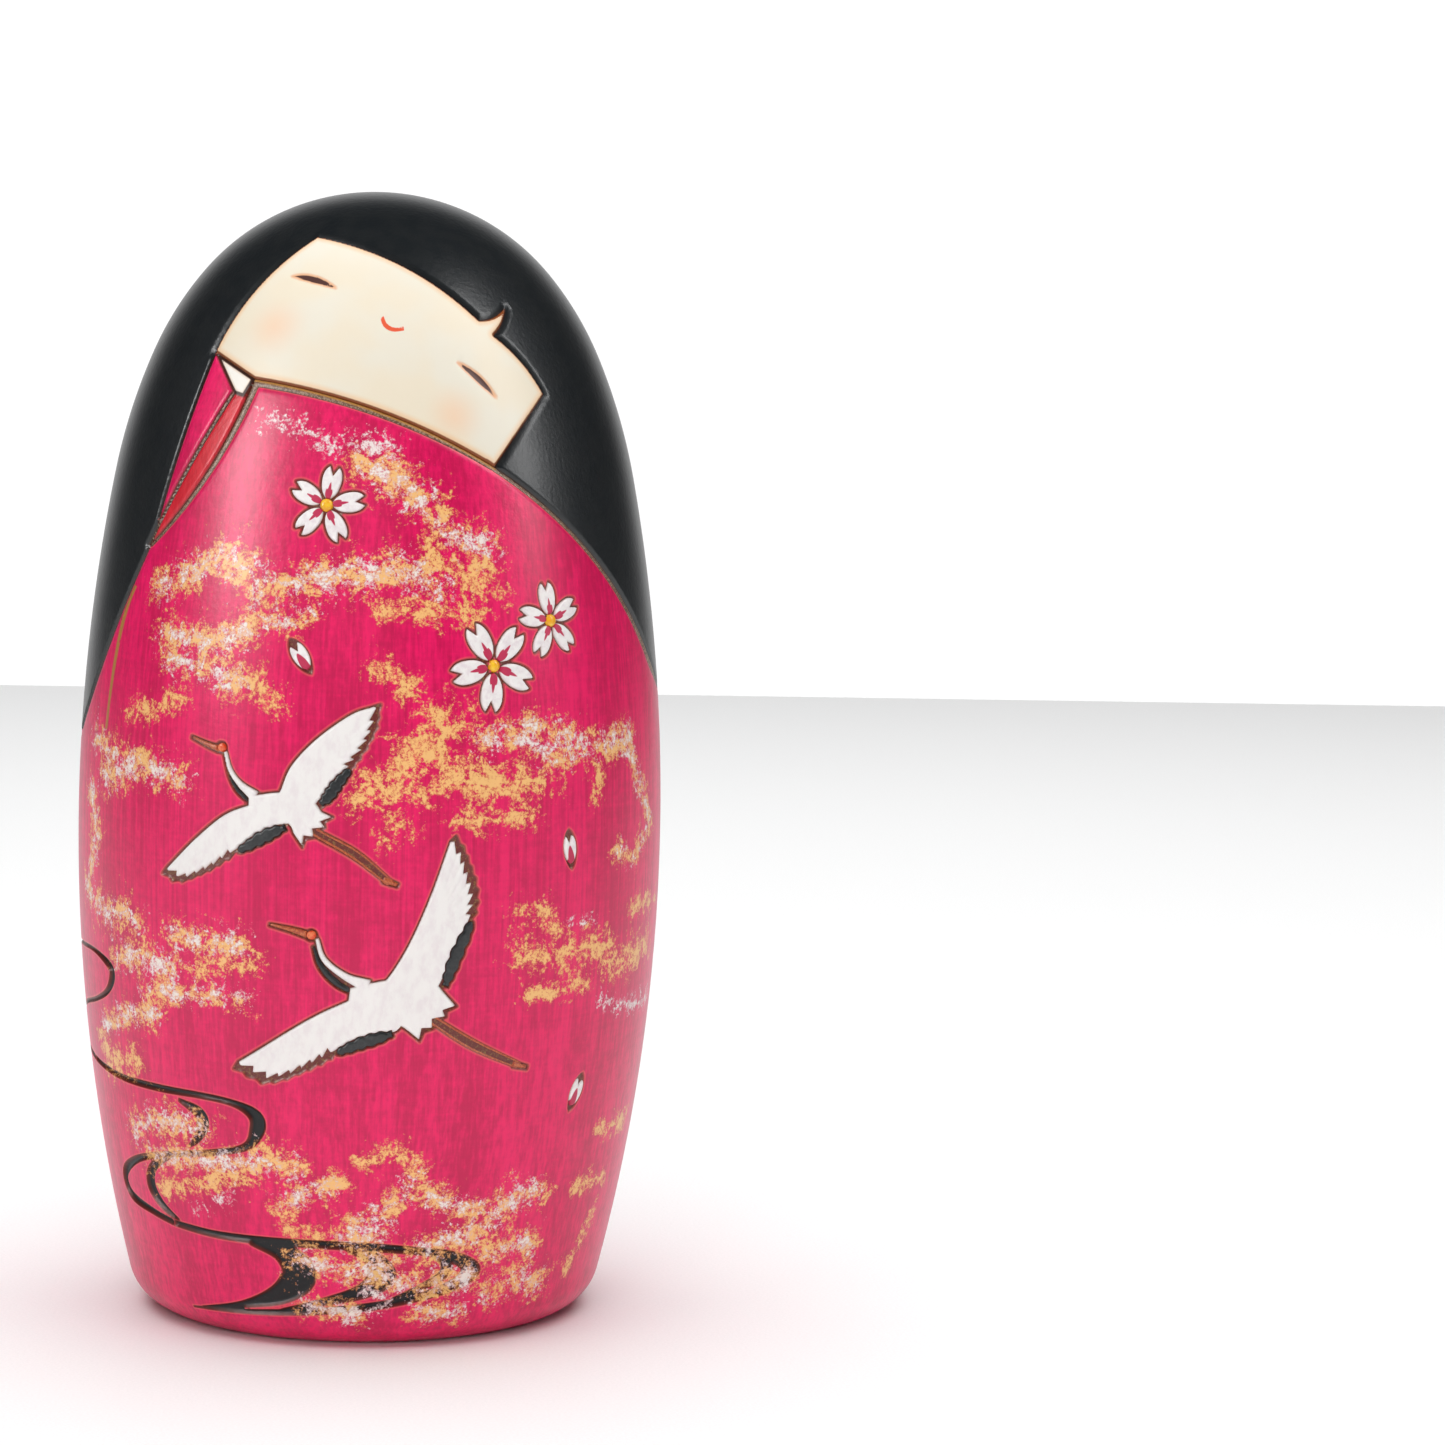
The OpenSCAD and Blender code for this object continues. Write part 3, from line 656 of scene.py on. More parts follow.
# %% Where the clouds are
CLOUDS = (
    ("s", 2.6, (-26, 124.3), (-18, 123.7), (-10, 121.7), (-3, 121.3), (3, 120.9)),
        ("b", 3.3, (-3, 119.3), (6, 116.8), (12, 112.7), (17, 109.7), (23, 108.6)),
    ("g", 2.9, (11, 107.6), (15, 105.5), (21, 104.5), (24, 102.4)),
    ("b", 3.0, (-48, 101.5), (-40, 104.5), (-31, 106.3), (-26, 104.9)),
    ("b", 3.3, (-24, 102.4), (-15, 103.7), (-7, 104.9), (0, 105), (8, 105.5), (13, 103)),
    ("g", 2.2, (2, 100.9), (8, 100.9), (16, 99.9), (20, 99.3)),
    ("b", 1.9, (-21, 98.4), (-15, 98), (-12, 99.6)), ("b", 3.3, (-44, 95.4), (-37, 94.7), (-30, 95.5), (-25, 97.2)),
    ("b", 3.0, (-42, 92.9), (-33, 91.7), (-27, 90.4)), ("g", 2.5, (-27, 91.4), (-22, 90.1), (-19, 87.6)),
    ("g", 2.1, (-54, 84.9), (-46, 86.4), (-39, 87.8)),
    ("b", 2.8, (-69, 81.2), (-60, 78.6), (-63, 75.2), (-50, 78.2), (-39, 76.8)),
    ("b", 2.2, (-70, 74), (-66, 68), (-70, 62)),
    ("g", 2.2, (1, 92.1), (6, 90.6), (10, 87.5), (16, 84.9)),
    ("g", 3.9, (14, 85.4), (13, 82.3), (8, 80.3), (2, 78.2)),
    ("b", 2.6, (22, 82.7), (31, 84.6), (40, 83.8), (46, 80.9), (60, 82.3)),
    ("g", 4.1, (7, 80.7), (13, 82.8), (16, 79.1), (24, 77.9), (31, 76.6)),
    ("g", 2.2, (-2, 75.5), (4, 76.5), (9, 75.5)), ("g", 2.2, (4, 73.4), (6, 71.8), (3, 70.2)),
    ("g", 2.2, (18, 72.8), (24, 73.1), (33, 73.4)),
    ("b", 2.7, (21, 83.7), (29, 82.5), (38, 80.6), (45, 81.9)), ("g", 1.7, (48, 81.8), (49, 78), (48, 74.3)),
    ("b", 1.9, (54, 82.5), (62, 78.8), (66, 74.2), (71, 70), (62, 65.2), (56, 66.8)),
    ("b", 2.7, (-72, 59.6), (-63, 57.2), (-55, 57.9), (-51, 56.6)),
    ("b", 3.0, (-57, 51.7), (-47, 52), (-41, 51.5)), ("b", 2.7, (-40, 55.9), (-33, 55.3), (-26, 55.7)),
    ("g", 2.2, (-36, 51.8), (-29, 52.8), (-23, 53.2)),
    ("b", 2.0, (-48, 48.2), (-39, 47.8), (-31, 48.4), (-24, 48.3)),
    ("b", 2.2, (-66, 41.4), (-54, 43.8), (-46, 44.6)), ("g", 2.3, (-67, 39.1), (-66, 35.9), (-53, 37.8)),
    ("g", 2.0, (30, 60.2), (35, 60.5), (38, 57.6)), ("s", 1.4, (41, 58.5), (48, 58)),
    ("g", 3.0, (31, 54.2), (38, 53.3), (46, 54.9), (58, 51.8), (72, 52.7)),
    ("g", 1.7, (33, 48.7), (41, 48.8), (47, 49.9)), ("g", 1.7, (63, 58.5), (77, 58.4)),
    ("s", 1.9, (53, 46.7), (59, 45), (77, 44.9)),
    ("b", 2.5, (-58, 27.9), (-45, 30.4), (-35, 29.6)), ("b", 2.6, (-52, 24.7), (-32, 25.4), (-21, 26.6), (-15,
    25.2)), ("g", 2.2, (-48, 20.1), (-32, 23.1), (-23, 24.9)),
    ("s", 1.9, (-39, 18.6), (-31, 20.4)), ("b", 2.5, (-18, 20.1), (-11, 22.6), (-6, 23.3)),
    ("g", 1.9, (-17, 16.8), (-11, 16.4)), ("g", 1.7, (-1, 26.7), (7, 28.3), (11, 26.6)),
    ("b", 2.5, (-3, 17.7), (5, 20.5), (11, 22.7)), ("b", 2.5, (-4, 15.4), (3, 16.6)),
    ("b", 2.7, (12, 14.2), (21, 15.6), (28, 17.5), (34, 21.6), (40, 21.1)),
    ("b", 2.7, (29, 13.4), (40, 13.8)), ("b", 2.7, (29, 7.2), (38, 8.8), (45, 7.6)),
    ("s", 2.2, (0, 8.6), (5, 7.5), (2, 5.8)), ("g", 1.7, (55, 8.2), (59, 13), (63, 15.9)),
    ("g", 1.7, (52, 20.6), (66, 20.7)), ("g", 1.7, (58, 27.9), (73, 28.4)),
    ("b", 3.0, (95, 70), (112, 72), (128, 68)), ("g", 2.6, (100, 40), (120, 44)),
    ("b", 2.8, (-100, 66), (-118, 62), (-130, 58)), ("b", 3.0, (-100, 30), (-120, 26), (-140, 30)),
    ("b", 3.0, (150, 34), (172, 38), (190, 36)), ("g", 2.4, (95, 20), (118, 16)),
    ("b", 2.8, (-14, 12.5), (-4, 11.5), (6, 12)), ("b", 2.8, (4, 10.5), (14, 9), (24, 10)),
    ("b", 2.3, (10, 24.5), (17, 20.5), (25, 19.5)),
    ("b", 2.2, (-14, 6.5), (-2, 5)), ("b", 2.0, (12, 5.5), (24, 5)),
)


def cloud_at(p, kinds):
    turn = np.degrees(np.arctan2(p[:, 0], -p[:, 1]))
    best = np.full(len(p), -2.0)
    for kind, width, *path in CLOUDS:
        if kind not in kinds:
            continue
        path = np.array(path, float)
        u = ((turn - path[0, 0] + 180) % 360 - 180) * math.radians(1) * 39
        v = p[:, 2] - path[0, 1]
        line = (path - path[0]) * (math.radians(1) * 39, 1)
        for a, b in zip(line[:-1], line[1:]):
            d = b - a
            t = np.clip(((u - a[0]) * d[0] + (v - a[1]) * d[1]) / (d @ d), 0, 1)
            far = np.hypot(u - a[0] - t * d[0], v - a[1] - t * d[1])
            best = np.maximum(best, 1 - far / (1.15 * width))
    return np.clip(best, -2, 1)


gold, silver = cloud_at(flat, "gb"), cloud_at(flat, "sb")
print("dabs of cloud", len(CLOUDS))

# %% [markdown]
# ## One mesh per field
# Each field has its own finish, so the skin is copied once per field and the faces of the others are deleted.
# Neighbours keep the same points along their shared line, so nothing opens between them. The distances are
# stored on the points, where the finishes can read them.

# %% Make one mesh per field
solid = flat + skin_normal(flat) * depth[:, None]
put(skin, solid * MM)
front = to_flat(flat, 0, 0)[0]
behind_face = flat[:, 1] > 0
face_d = np.where(behind_face, 9.0, signed(front, [face_poly]))
blush_d = np.minimum(np.linalg.norm(flat - to_skin(P((-13.6, 136.7)), 0, 0), axis=1) / 4.6,
                     np.linalg.norm(flat - to_skin(P((10.2, 125.6)), 0, 0), axis=1) / 4.2)
VALUES = {"line_mm": own_mm, "gold": gold, "silver": silver, "face_mm": face_d, "blush": blush_d,
          "eye_mm": np.where(behind_face, 9.0, eyes_d), "mouth_mm": np.where(behind_face, 9.0, signed(front,
          MOUTH)),
          "fold_mm": np.where(behind_face, 9.0, signed(front, FOLD))}
for name, values in VALUES.items():
    layer = skin.verts.layers.float.new(name)
    for v in skin.verts:
        v[layer] = values[v.index]


def to_object(bm, name, nodes):
    mesh = bpy.data.meshes.new(name)
    bm.to_mesh(mesh)
    mesh.shade_smooth()
    obj = bpy.data.objects.new(name, mesh)
    bpy.context.scene.collection.objects.link(obj)
    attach(obj, "root")
    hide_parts(*nodes)
    return obj


def cut_field(name):
    bm = skin.copy()
    bm.faces.ensure_lookup_table()
    spare = [f for f, i in zip(bm.faces, ids) if NAMES[i] != name]
    bmesh.ops.delete(bm, geom=spare, context="FACES")
    return bm


pieces = {}
CUT = {"kimono": ("pink_dye", ["kimono", "fold_line"]), "hair": ("black_hair", ["hair"]),
    "face": ("ivory_face", ["face", "eye_left", "eye_right", "mouth"]),
       "neck_collar": ("white_gofun", ["neck_collar"]), "under_kimono": ("pink_dye", ["under_kimono"]),
       "collar_lining": ("red_dye", ["collar_lining"]),
       "collar_edge": ("gold_brown_edge", ["collar_edge"])}
for name in NAMES:
    slot, nodes = CUT.get(name, ("burnt_line", []))
    if name.startswith("stream"):
        slot, nodes = "black_ink", [name]
    bm = cut_field(name)
    label = name if name in CUT or name.startswith("stream") else name + "_ground"
    pieces[label] = to_object(bm, label, nodes)
    print(label, len(bm.faces))
    bm.free()

# %% [markdown]
# ## Raised paint
# The thick white paint sits inside its burnt ground like icing, a little proud of the skin, with a rounded
# edge. A grid is cut down to the shape, its rim is drawn to the outline, and its height swells from the rim.


# %% Lay the thick paint
def raised(name, slot, turn, height, polys, d_at=None, floor=-0.3, top=0.12, swell=0.28, cell=0.16, lines=(),
    nodes=None):
    d_at = d_at or (lambda q: signed(q, polys))
    lo, hi = reach_of(polys, 0)
    size = hi - lo
    nx, ny = (max(2, int(round(s / cell))) for s in size)
    bm = bmesh.new()
    bmesh.ops.create_grid(bm, x_segments=nx, y_segments=ny, size=0.5)
    bmesh.ops.transform(bm, matrix=Matrix.Translation((*(lo + size / 2), 0)) @ Matrix.Diagonal((*size, 1, 1)),
        verts=bm.verts)
    middle = np.array([f.calc_center_median()[:2] for f in bm.faces])
    bmesh.ops.delete(bm, geom=[f for f, d in zip(bm.faces, d_at(middle)) if d > 0], context="FACES")
    bm.verts.index_update()
    q = coords(bm)[:, :2]
    rim = np.array([v.is_boundary for v in bm.verts])
    e = 0.01
    for _ in range(3):
        d = d_at(q[rim])
        g = np.stack([d_at(q[rim] + (e, 0)) - d_at(q[rim] - (e, 0)), d_at(q[rim] + (0, e)) - d_at(q[rim] - (0, e))],
            1) / (2 * e)
        q[rim] -= np.clip(d, -0.15, 0.15)[:, None] * g / np.maximum((g * g).sum(1), 0.25)[:, None]
    inside = -d_at(q)
    t = np.clip(inside / swell, 0, 1)
    h = floor + (top - floor) * np.sqrt(1 - (1 - t) ** 2)
    h[rim] = floor
    for line, deep, wide in lines:
        d = np.full(len(q), 9.0)
        for a, b in zip(line[:-1], line[1:]):
            w = b - a
            s = np.clip(((q - a) @ w) / (w @ w), 0, 1)
            d = np.minimum(d, np.linalg.norm(q - a - s[:, None] * w, axis=1))
        h -= np.where(rim, 0, deep * np.exp(-(d / wide) ** 2))
    skin_at = to_skin(q, turn, height)
    put(bm, (skin_at + skin_normal(skin_at) * h[:, None]) * MM)
    bmesh.ops.recalc_face_normals(bm, faces=bm.faces)
    f = bm.faces[:][0]
    if f.normal.dot(Vector(skin_normal(skin_at[:1])[0])) < 0:
        bmesh.ops.reverse_faces(bm, faces=bm.faces)
    layer = bm.verts.layers.float.new("rim_mm")
    for v, d in zip(bm.verts, inside):
        v[layer] = d
    obj = to_object(bm, name, nodes or [name])
    bm.free()
    return obj, q


def feather_lines(w, depth=0.07):
    _, tips, hub, _ = w
    middle = (np.array(tips)[:-1] + np.array(tips)[1:]) / 2
    return [(smooth([P(*hub) * 0.5 + m * 0.5, m * 0.85 + P(*hub) * 0.15 + (0.15, 0), m], 4), depth,
        0.12) for m in middle]


for c, which in enumerate(("upper", "lower")):
    k, at = CRANES[c], CRANE_AT[c]
    base = "crane_" + which + "_"
    wings = [feathered(*k[w]) for w in ("up", "low")]
    body = [feathered(*k["body"], notch=1.0), brushed(k["nape"])]
    black = [brushed(b, ripple=0.28) for b in k["black"]] + [brushed(k["throat"], ripple=0.05)]
    crest = [disc(k["crest"], 0.62)]

    def white_d(q):
        return np.maximum(np.minimum(np.maximum(signed(q, wings), 0.03 - signed(q, black)), signed(q, body)),
            0.03 - signed(q, crest))

    def black_d(q):
        return np.maximum(signed(q, black), 0.03 - signed(q, body))

    strokes = feather_lines(k["up"]) + feather_lines(k["low"])
    pieces[base + "plumage"] = raised(base + "plumage", "white_gofun", *at, wings + body, white_d, lines=strokes)[0]
    pieces[base + "quills"] = raised(base + "quills", "black_ink", *at, black, black_d, top=0.08, cell=0.13)[0]
    pieces[base + "crest"] = raised(base + "crest", "orange_red_paint", *at, crest, top=0.1, cell=0.11)[0]
    beak = [brushed(k["beak"])]
    pieces[base + "beak"] = raised(base + "beak", "burnt_line", *at, beak,
        lambda q: np.maximum(signed(q, beak), 0.03 - signed(q, crest)), top=-0.05, cell=0.12)[0]
    legs = [brushed(b) for b in k["legs"]] + [brushed(k["foot"])]
    pieces[base + "legs"] = raised(base + "legs", "burnt_line", *at, legs, top=-0.12, cell=0.11)[0]


# %% [markdown]
# ## Blossoms and loose petals
# The petals are laid together as one coat of white, the stamens are marked on it as a stored distance, and one
# dab of yellow covers the centre.

# %% Lay the blossoms
def stamens(r, spin):
    marks = []
    for i in range(5):
        for lean, far in ((-9, 0.42), (0, 0.6), (9, 0.42)):
            marks.append(turned(leaf((0.12 * r, 0), (0.3 * r, 0), (far * r, 0), 0.09 * r), spin + 72 * i + lean))
    return marks


def mark_layer(obj, q, polys):
    layer = obj.data.attributes.new("mark_mm", "FLOAT", "POINT")
    layer.data.foreach_set("value", signed(q, polys).astype(np.float32))


for n, (t, z, r, spin) in BLOSSOMS.items():
    name = "blossom_" + n + "_petals"
    obj, q = raised(name, "white_gofun", t, z, blossom_petals(r, spin), cell=0.11, swell=0.25)
    mark_layer(obj, q, stamens(r, spin))
    pieces[name] = obj
    name = "blossom_" + n + "_pistil"
    pieces[name] = raised(name, "yellow_paint", t, z, [disc((0, 0), 0.88)], top=0.3, swell=0.7, cell=0.1)[0]
for n, (t, z, spin) in FALLEN.items():
    name = "fallen_petal_" + n
    obj, q = raised(name, "white_gofun", t, z, fallen_petal(spin), cell=0.11, swell=0.25)
    mark_layer(obj, q, [turned(leaf((-3.2, 0), (-1.6, 0.1), (0.3, 0.2), 1.1), spin)])
    pieces[name] = obj

# %% [markdown]
# ## Paints and dyes
# Each finish is one Principled shader fed by a few patterns, whose scales come from real sizes in millimetres.
# One small function adds a node with its settings and links. The methods are named for what a painter does:
# `speckle` is an uneven pattern of a given grain, `blend` mixes patterns, and `paint` lays a colour where a
# value has been reached.


# %% A finish and its patterns
def colour(hex_code):
    s = [int(hex_code[i:i + 2], 16) / 255 for i in (1, 3, 5)]
    return tuple(c / 12.92 if c <= 0.04045 else ((c + 0.055) / 1.055) ** 2.4 for c in s) + (1,)


def add(tree, kind, inputs, out=0, **settings):
    """Adds a node, gives it its settings and inputs, and returns one output.

    An input is a socket to link, a number, a #hex colour, or the name of a measure stored on the mesh.
    """
    node = tree.nodes.new("ShaderNode" + kind)
    for key, value in settings.items():
        setattr(node, key, value)
    for socket, value in inputs.items():
        if isinstance(value, str) and value[0] != "#":
            value = add(tree, "Attribute", {}, "Fac", attribute_name=value)
        if isinstance(value, bpy.types.NodeSocket):
            tree.links.new(value, node.inputs[socket])
        else:
            node.inputs[socket].default_value = colour(value) if isinstance(value, str) else value
    return node.outputs[out]


class Finish:
    """A material with one Principled shader."""

    def __init__(self, name, **settings):
        self.material = bpy.data.materials.new(name)
        self.material.use_nodes = True
        self.tree = self.material.node_tree
        self.shader = self.tree.nodes["Principled BSDF"]
        for key, value in settings.items():
            self.shader.inputs[key.replace("_", " ")].default_value = value
        self.place = add(self.tree, "TexCoord", {}, "Object")

    def speckle(self, grain_mm, detail=4, rough=0.55, stretch=(1, 1, 1), shift=0.0, swirl=0.0):
        """An uneven pattern with a grain of so many millimetres, drawn out along the axes by stretch."""
        at = add(self.tree, "Mapping", {0: self.place, 1: (shift, 0.7 * shift, 1.3 * shift), 3: stretch})
        return add(self.tree, "TexNoise", {0: at, "Scale": 1 / (grain_mm * MM), "Detail": detail,
            "Roughness": rough, "Distortion": swirl})

    def blend(self, *parts):
        """A weighted sum of patterns: blend(0.6, a, 0.4, b)."""
        total = 0.0
        for weight, pattern in zip(parts[::2], parts[1::2]):
            total = add(self.tree, "Math", {0: pattern, 1: weight, 2: total}, operation="MULTIPLY_ADD")
        return total

    def paint(self, base, top, where, start, end, cover=1.0):
        """Lays `top` over `base` as `where` goes from start (none) to end (as much as cover)."""
        much = add(self.tree, "MapRange", {0: where, 1: start, 2: end, 3: 0.0, 4: cover},
            interpolation_type="SMOOTHSTEP")
        return add(self.tree, "Mix", {0: much, 6: base, 7: top}, 2, data_type="RGBA")

    def use(self, base, relief, relief_mm):
        self.tree.links.new(base, self.shader.inputs["Base Color"])
        bump = add(self.tree, "Bump", {"Height": relief, "Distance": relief_mm * MM})
        self.tree.links.new(bump, self.shader.inputs["Normal"])
        print(self.material.name, len(self.tree.nodes), "nodes")


VARNISH = dict(Roughness=0.36, Specular_IOR_Level=0.35, Coat_Weight=0.18, Coat_Roughness=0.25)

# %% [markdown]
# ### Clouds of gold and silver
# A dab is solid in its middle and breaks into grit at its edge, so a coarse, a fine and a gritty speckle are
# added to how near the dab is, and paint is laid where the sum passes a mark. Thin gold looks coppery because
# the dye shows through it, and thin silver looks rosy.


# %% The clouds' flecks
def stamped(f, base, name, lump_mm, fleck_mm, shift, mark, thin, solid):
    grit = f.speckle(0.3, 3, 0.7, shift=0.05)
    lump = f.speckle(lump_mm, 3, 0.6, shift=shift, swirl=1.0)
    fleck = f.speckle(fleck_mm, 4, 0.75, shift=shift + 0.03)
    mass = f.blend(0.41, lump, 0.38, fleck, 0.21, grit, 0.12, name)
    metal = f.paint(thin, solid, f.blend(0.9, mass, 0.1, grit), mark - 0.01, mark + 0.07)
    base = f.paint(base, metal, mass, mark - 0.02, mark + 0.012, 0.5)
    return f.paint(base, metal, mass, mark + 0.01, mark + 0.05, 0.8)


def clouds_over(f, base):
    base = stamped(f, base, "gold", 2.8, 0.75, 0.0, 0.563, "#e08a50", "#fbcb80")
    return stamped(f, base, "silver", 2.0, 0.6, 0.11, 0.603, "#dcaeb6", "#f7efea")


# %% [markdown]
# ### Bright pink dye under satin varnish
# Dye soaks into the soft early wood more than the late, so the grain stands out as fine upright streaks, and
# the wet cloth that wiped it on leaves faint bands across them. The varnish dries with an orange peel of
# about half a millimetre. The cut edges hold less dye and look coral.


# %% Pink dye
def dyed_pink(f):
    streak = f.speckle(0.55, 3, 0.6, (1, 1, 0.035))
    broad = f.speckle(6, 2, 0.5, (1, 1, 0.12), 0.2)
    band = f.speckle(0.5, 2, 0.5, (0.06, 0.06, 1), 0.4)
    blotch = f.speckle(1.6, 4, 0.65, shift=0.6)
    return f.paint("#c9084f", "#f11465", f.blend(0.36, streak, 0.32, broad, 0.07, band, 0.25, blotch), 0.39, 0.62)


kimono_finish = Finish("pink_dye_under_varnish", **VARNISH)
edge = "line_mm"
base = kimono_finish.paint(dyed_pink(kimono_finish), "#f0685f", edge, 0.3, 0.03, 0.5)
base = clouds_over(kimono_finish, base)
base = kimono_finish.paint(base, "#b07a3e", "fold_mm", 0.12, 0.0)
kimono_finish.use(base, kimono_finish.speckle(0.5, 2, 0.5, shift=0.5), 0.03)

under_finish = Finish("pink_dye_plain", **VARNISH)
base = under_finish.paint(dyed_pink(under_finish), "#6b2b22", "line_mm", 0.3, 0.05)
under_finish.use(base, under_finish.speckle(0.5, 2, 0.5, shift=0.5), 0.03)

# %% [markdown]
# ### Red dye
# The lining is dyed a flat scarlet, with a scorched edge where the hot pen ran along it.

# %% Red dye
lining_finish = Finish("red_dye_under_varnish", **VARNISH)
base = lining_finish.paint("#c81a2c", "#d72636", lining_finish.speckle(0.6, 3, 0.6, (1, 1, 0.05)), 0.4, 0.6)
base = lining_finish.paint(base, "#5c2318", "line_mm", 0.3, 0.02)
lining_finish.use(base, lining_finish.speckle(0.5, 2, 0.5, shift=0.5), 0.03)

# %% [markdown]
# ### Black lacquer
# The hair is brushed black over the wood and sealed with a satin lacquer. Its orange peel is what breaks up
# the highlights. Beside a burnt line the black turns brown.

# %% Black lacquer
hair_finish = Finish("black_satin_lacquer", Roughness=0.36, Specular_IOR_Level=0.5, Coat_Weight=0.25,
    Coat_Roughness=0.26)
base = hair_finish.paint("#14181b", "#191c1e", hair_finish.speckle(2.5, 3, 0.6), 0.4, 0.6)
base = hair_finish.paint(base, "#33180e", "line_mm", 0.22, 0.02)
hair_finish.use(base, hair_finish.speckle(0.6, 2, 0.5, shift=0.5), 0.045)

# %% [markdown]
# ### Ivory face
# The face is rubbed with ivory paint and sealed. The hot pen scorches its edge to orange, the eyes are burnt
# strokes with an orange halo, the mouth is a stroke of vermilion, and rouge is dabbed under each eye.

# %% Ivory face
face_finish = Finish("ivory_paint", Roughness=0.5, Coat_Weight=0.25, Coat_Roughness=0.35)
soft = face_finish.speckle(9, 2, 0.5)
base = face_finish.paint("#ece5d4", "#eee2cb", soft, 0.35, 0.7)
base = face_finish.paint(base, "#f9c49a", face_finish.blend(1.0, "blush", 0.35, soft), 1.35, 0.0, 0.55)
edge = "line_mm"
base = face_finish.paint(base, "#f0b062", edge, 1.3, 0.3, 0.5)
base = face_finish.paint(base, "#8a4413", edge, 0.42, 0.24)
eye = "eye_mm"
base = face_finish.paint(base, "#e8934a", eye, 0.4, 0.02, 0.7)
base = face_finish.paint(base, "#4e2c26", eye, 0.04, -0.06)
base = face_finish.paint(base, "#ea5428", "mouth_mm", 0.05, -0.03)
face_finish.use(base, face_finish.speckle(0.8, 2, 0.5), 0.008)

# %% [markdown]
# ### Burnt and gilded edge
# The collar's bevel is burnt brown in short strokes of the hot pen, and gold is brushed along its crest.

# %% Collar edge
edge_finish = Finish("burnt_edge_brushed_gold", Roughness=0.45, Coat_Weight=0.3, Coat_Roughness=0.3)
stroke = edge_finish.speckle(0.28, 4, 0.75)
base = edge_finish.paint("#5c3e2e", "#a88c74", stroke, 0.42, 0.62)
base = edge_finish.paint(base, "#c98d34", "face_mm", 0.55, 0.15, 0.85)
base = edge_finish.paint(base, "#4a2c1c", "line_mm", 0.12, 0.0)
edge_finish.use(base, stroke, 0.03)

# %% [markdown]
# ### Shell white
# The white is ground shell in glue, laid on thick. It dries matt and a little uneven, and where it thins at
# the rim the burnt ground shows through. The petals get crimson stamens drawn from their centres.

# %% Shell white
white_finish = Finish("shell_white_paint", Roughness=0.5, Coat_Weight=0.2, Coat_Roughness=0.35)
uneven = white_finish.speckle(1.1, 4, 0.6, (1, 1, 0.5))
base = white_finish.paint("#efe7e7", "#f6f2ef", uneven, 0.3, 0.6)
base = white_finish.paint(base, "#b89a90", "rim_mm", 0.12, 0.0, 0.6)
white_finish.use(base, uneven, 0.07)

petal_finish = Finish("shell_white_paint_with_crimson", Roughness=0.5, Coat_Weight=0.2, Coat_Roughness=0.35)
uneven = petal_finish.speckle(0.9, 4, 0.6)
base = petal_finish.paint("#ebe0e2", "#f7f2f0", uneven, 0.3, 0.6)
base = petal_finish.paint(base, "#b98d84", "rim_mm", 0.09, 0.0, 0.6)
base = petal_finish.paint(base, "#c2224f", "mark_mm", 0.05, -0.04)
petal_finish.use(base, uneven, 0.05)

collar_white = Finish("shell_white_collar", Roughness=0.5, Coat_Weight=0.2, Coat_Roughness=0.35)
edge = "line_mm"
base = collar_white.paint("#f6f1e8", "#e2b48a", edge, 0.8, 0.3, 0.5)
base = collar_white.paint(base, "#35180f", edge, 0.5, 0.3)
collar_white.use(base, collar_white.speckle(0.9, 4, 0.6), 0.03)

# %% [markdown]
# ### Black paint and burnt wood
# The wing quills and the stream are black satin paint, laid in burnt channels whose brown edges it leaves
# bare. The ground round the birds and blossoms is plain burnt wood, dark in the middle and red at the rim
# where the dye has crept in. Charred wood is rough at a third of a millimetre.

# %% Black paint and burnt wood
ink_finish = Finish("black_satin_paint", Roughness=0.4, Coat_Weight=0.3, Coat_Roughness=0.25)
patch = ink_finish.speckle(0.8, 4, 0.7)
base = ink_finish.paint("#191c1e", "#303335", patch, 0.4, 0.75)
base = ink_finish.paint(base, "#4a2219", "rim_mm", 0.08, 0.0)
ink_finish.use(base, patch, 0.05)

stream_finish = Finish("black_paint_in_burnt_channel", Roughness=0.4, Specular_IOR_Level=0.3, Coat_Weight=0.12,
    Coat_Roughness=0.25)
edge = "line_mm"
char = stream_finish.speckle(0.6, 5, 0.7)
base = stream_finish.paint("#5e2219", "#181b1d", edge, 0.12, 0.5)
base = stream_finish.paint(base, "#4a4744", char, 0.55, 0.75, 0.3)
base = stream_finish.paint(base, "#a8383c", edge, 0.14, 0.0)
stream_finish.use(clouds_over(stream_finish, base), char, 0.04)

ground_finish = Finish("burnt_ground", Roughness=0.45, Coat_Weight=0.3, Coat_Roughness=0.3)
char = ground_finish.speckle(0.35, 4, 0.75)
base = ground_finish.paint("#6b211c", "#8d6a34", char, 0.5, 0.68)
base = ground_finish.paint(base, "#c23a44", "line_mm", 0.22, 0.0)
ground_finish.use(base, char, 0.04)

leg_finish = Finish("burnt_line_stained_red", Roughness=0.45, Coat_Weight=0.3, Coat_Roughness=0.3)
char = leg_finish.speckle(0.3, 4, 0.7)
leg_finish.use(leg_finish.paint("#a8402e", "#cf7440", char, 0.35, 0.65), char, 0.02)

# %% [markdown]
# ### Dabs of red and yellow
# The cranes' crests and the blossoms' centres are single dabs from a full brush, so they stand up glossy.

# %% Red and yellow dabs
crest_finish = Finish("orange_red_dab", Roughness=0.35, Coat_Weight=0.4, Coat_Roughness=0.2)
wet = crest_finish.speckle(0.7, 3, 0.6)
crest_finish.use(crest_finish.paint("#e2481f", "#f07c4a", wet, 0.4, 0.65), wet, 0.02)

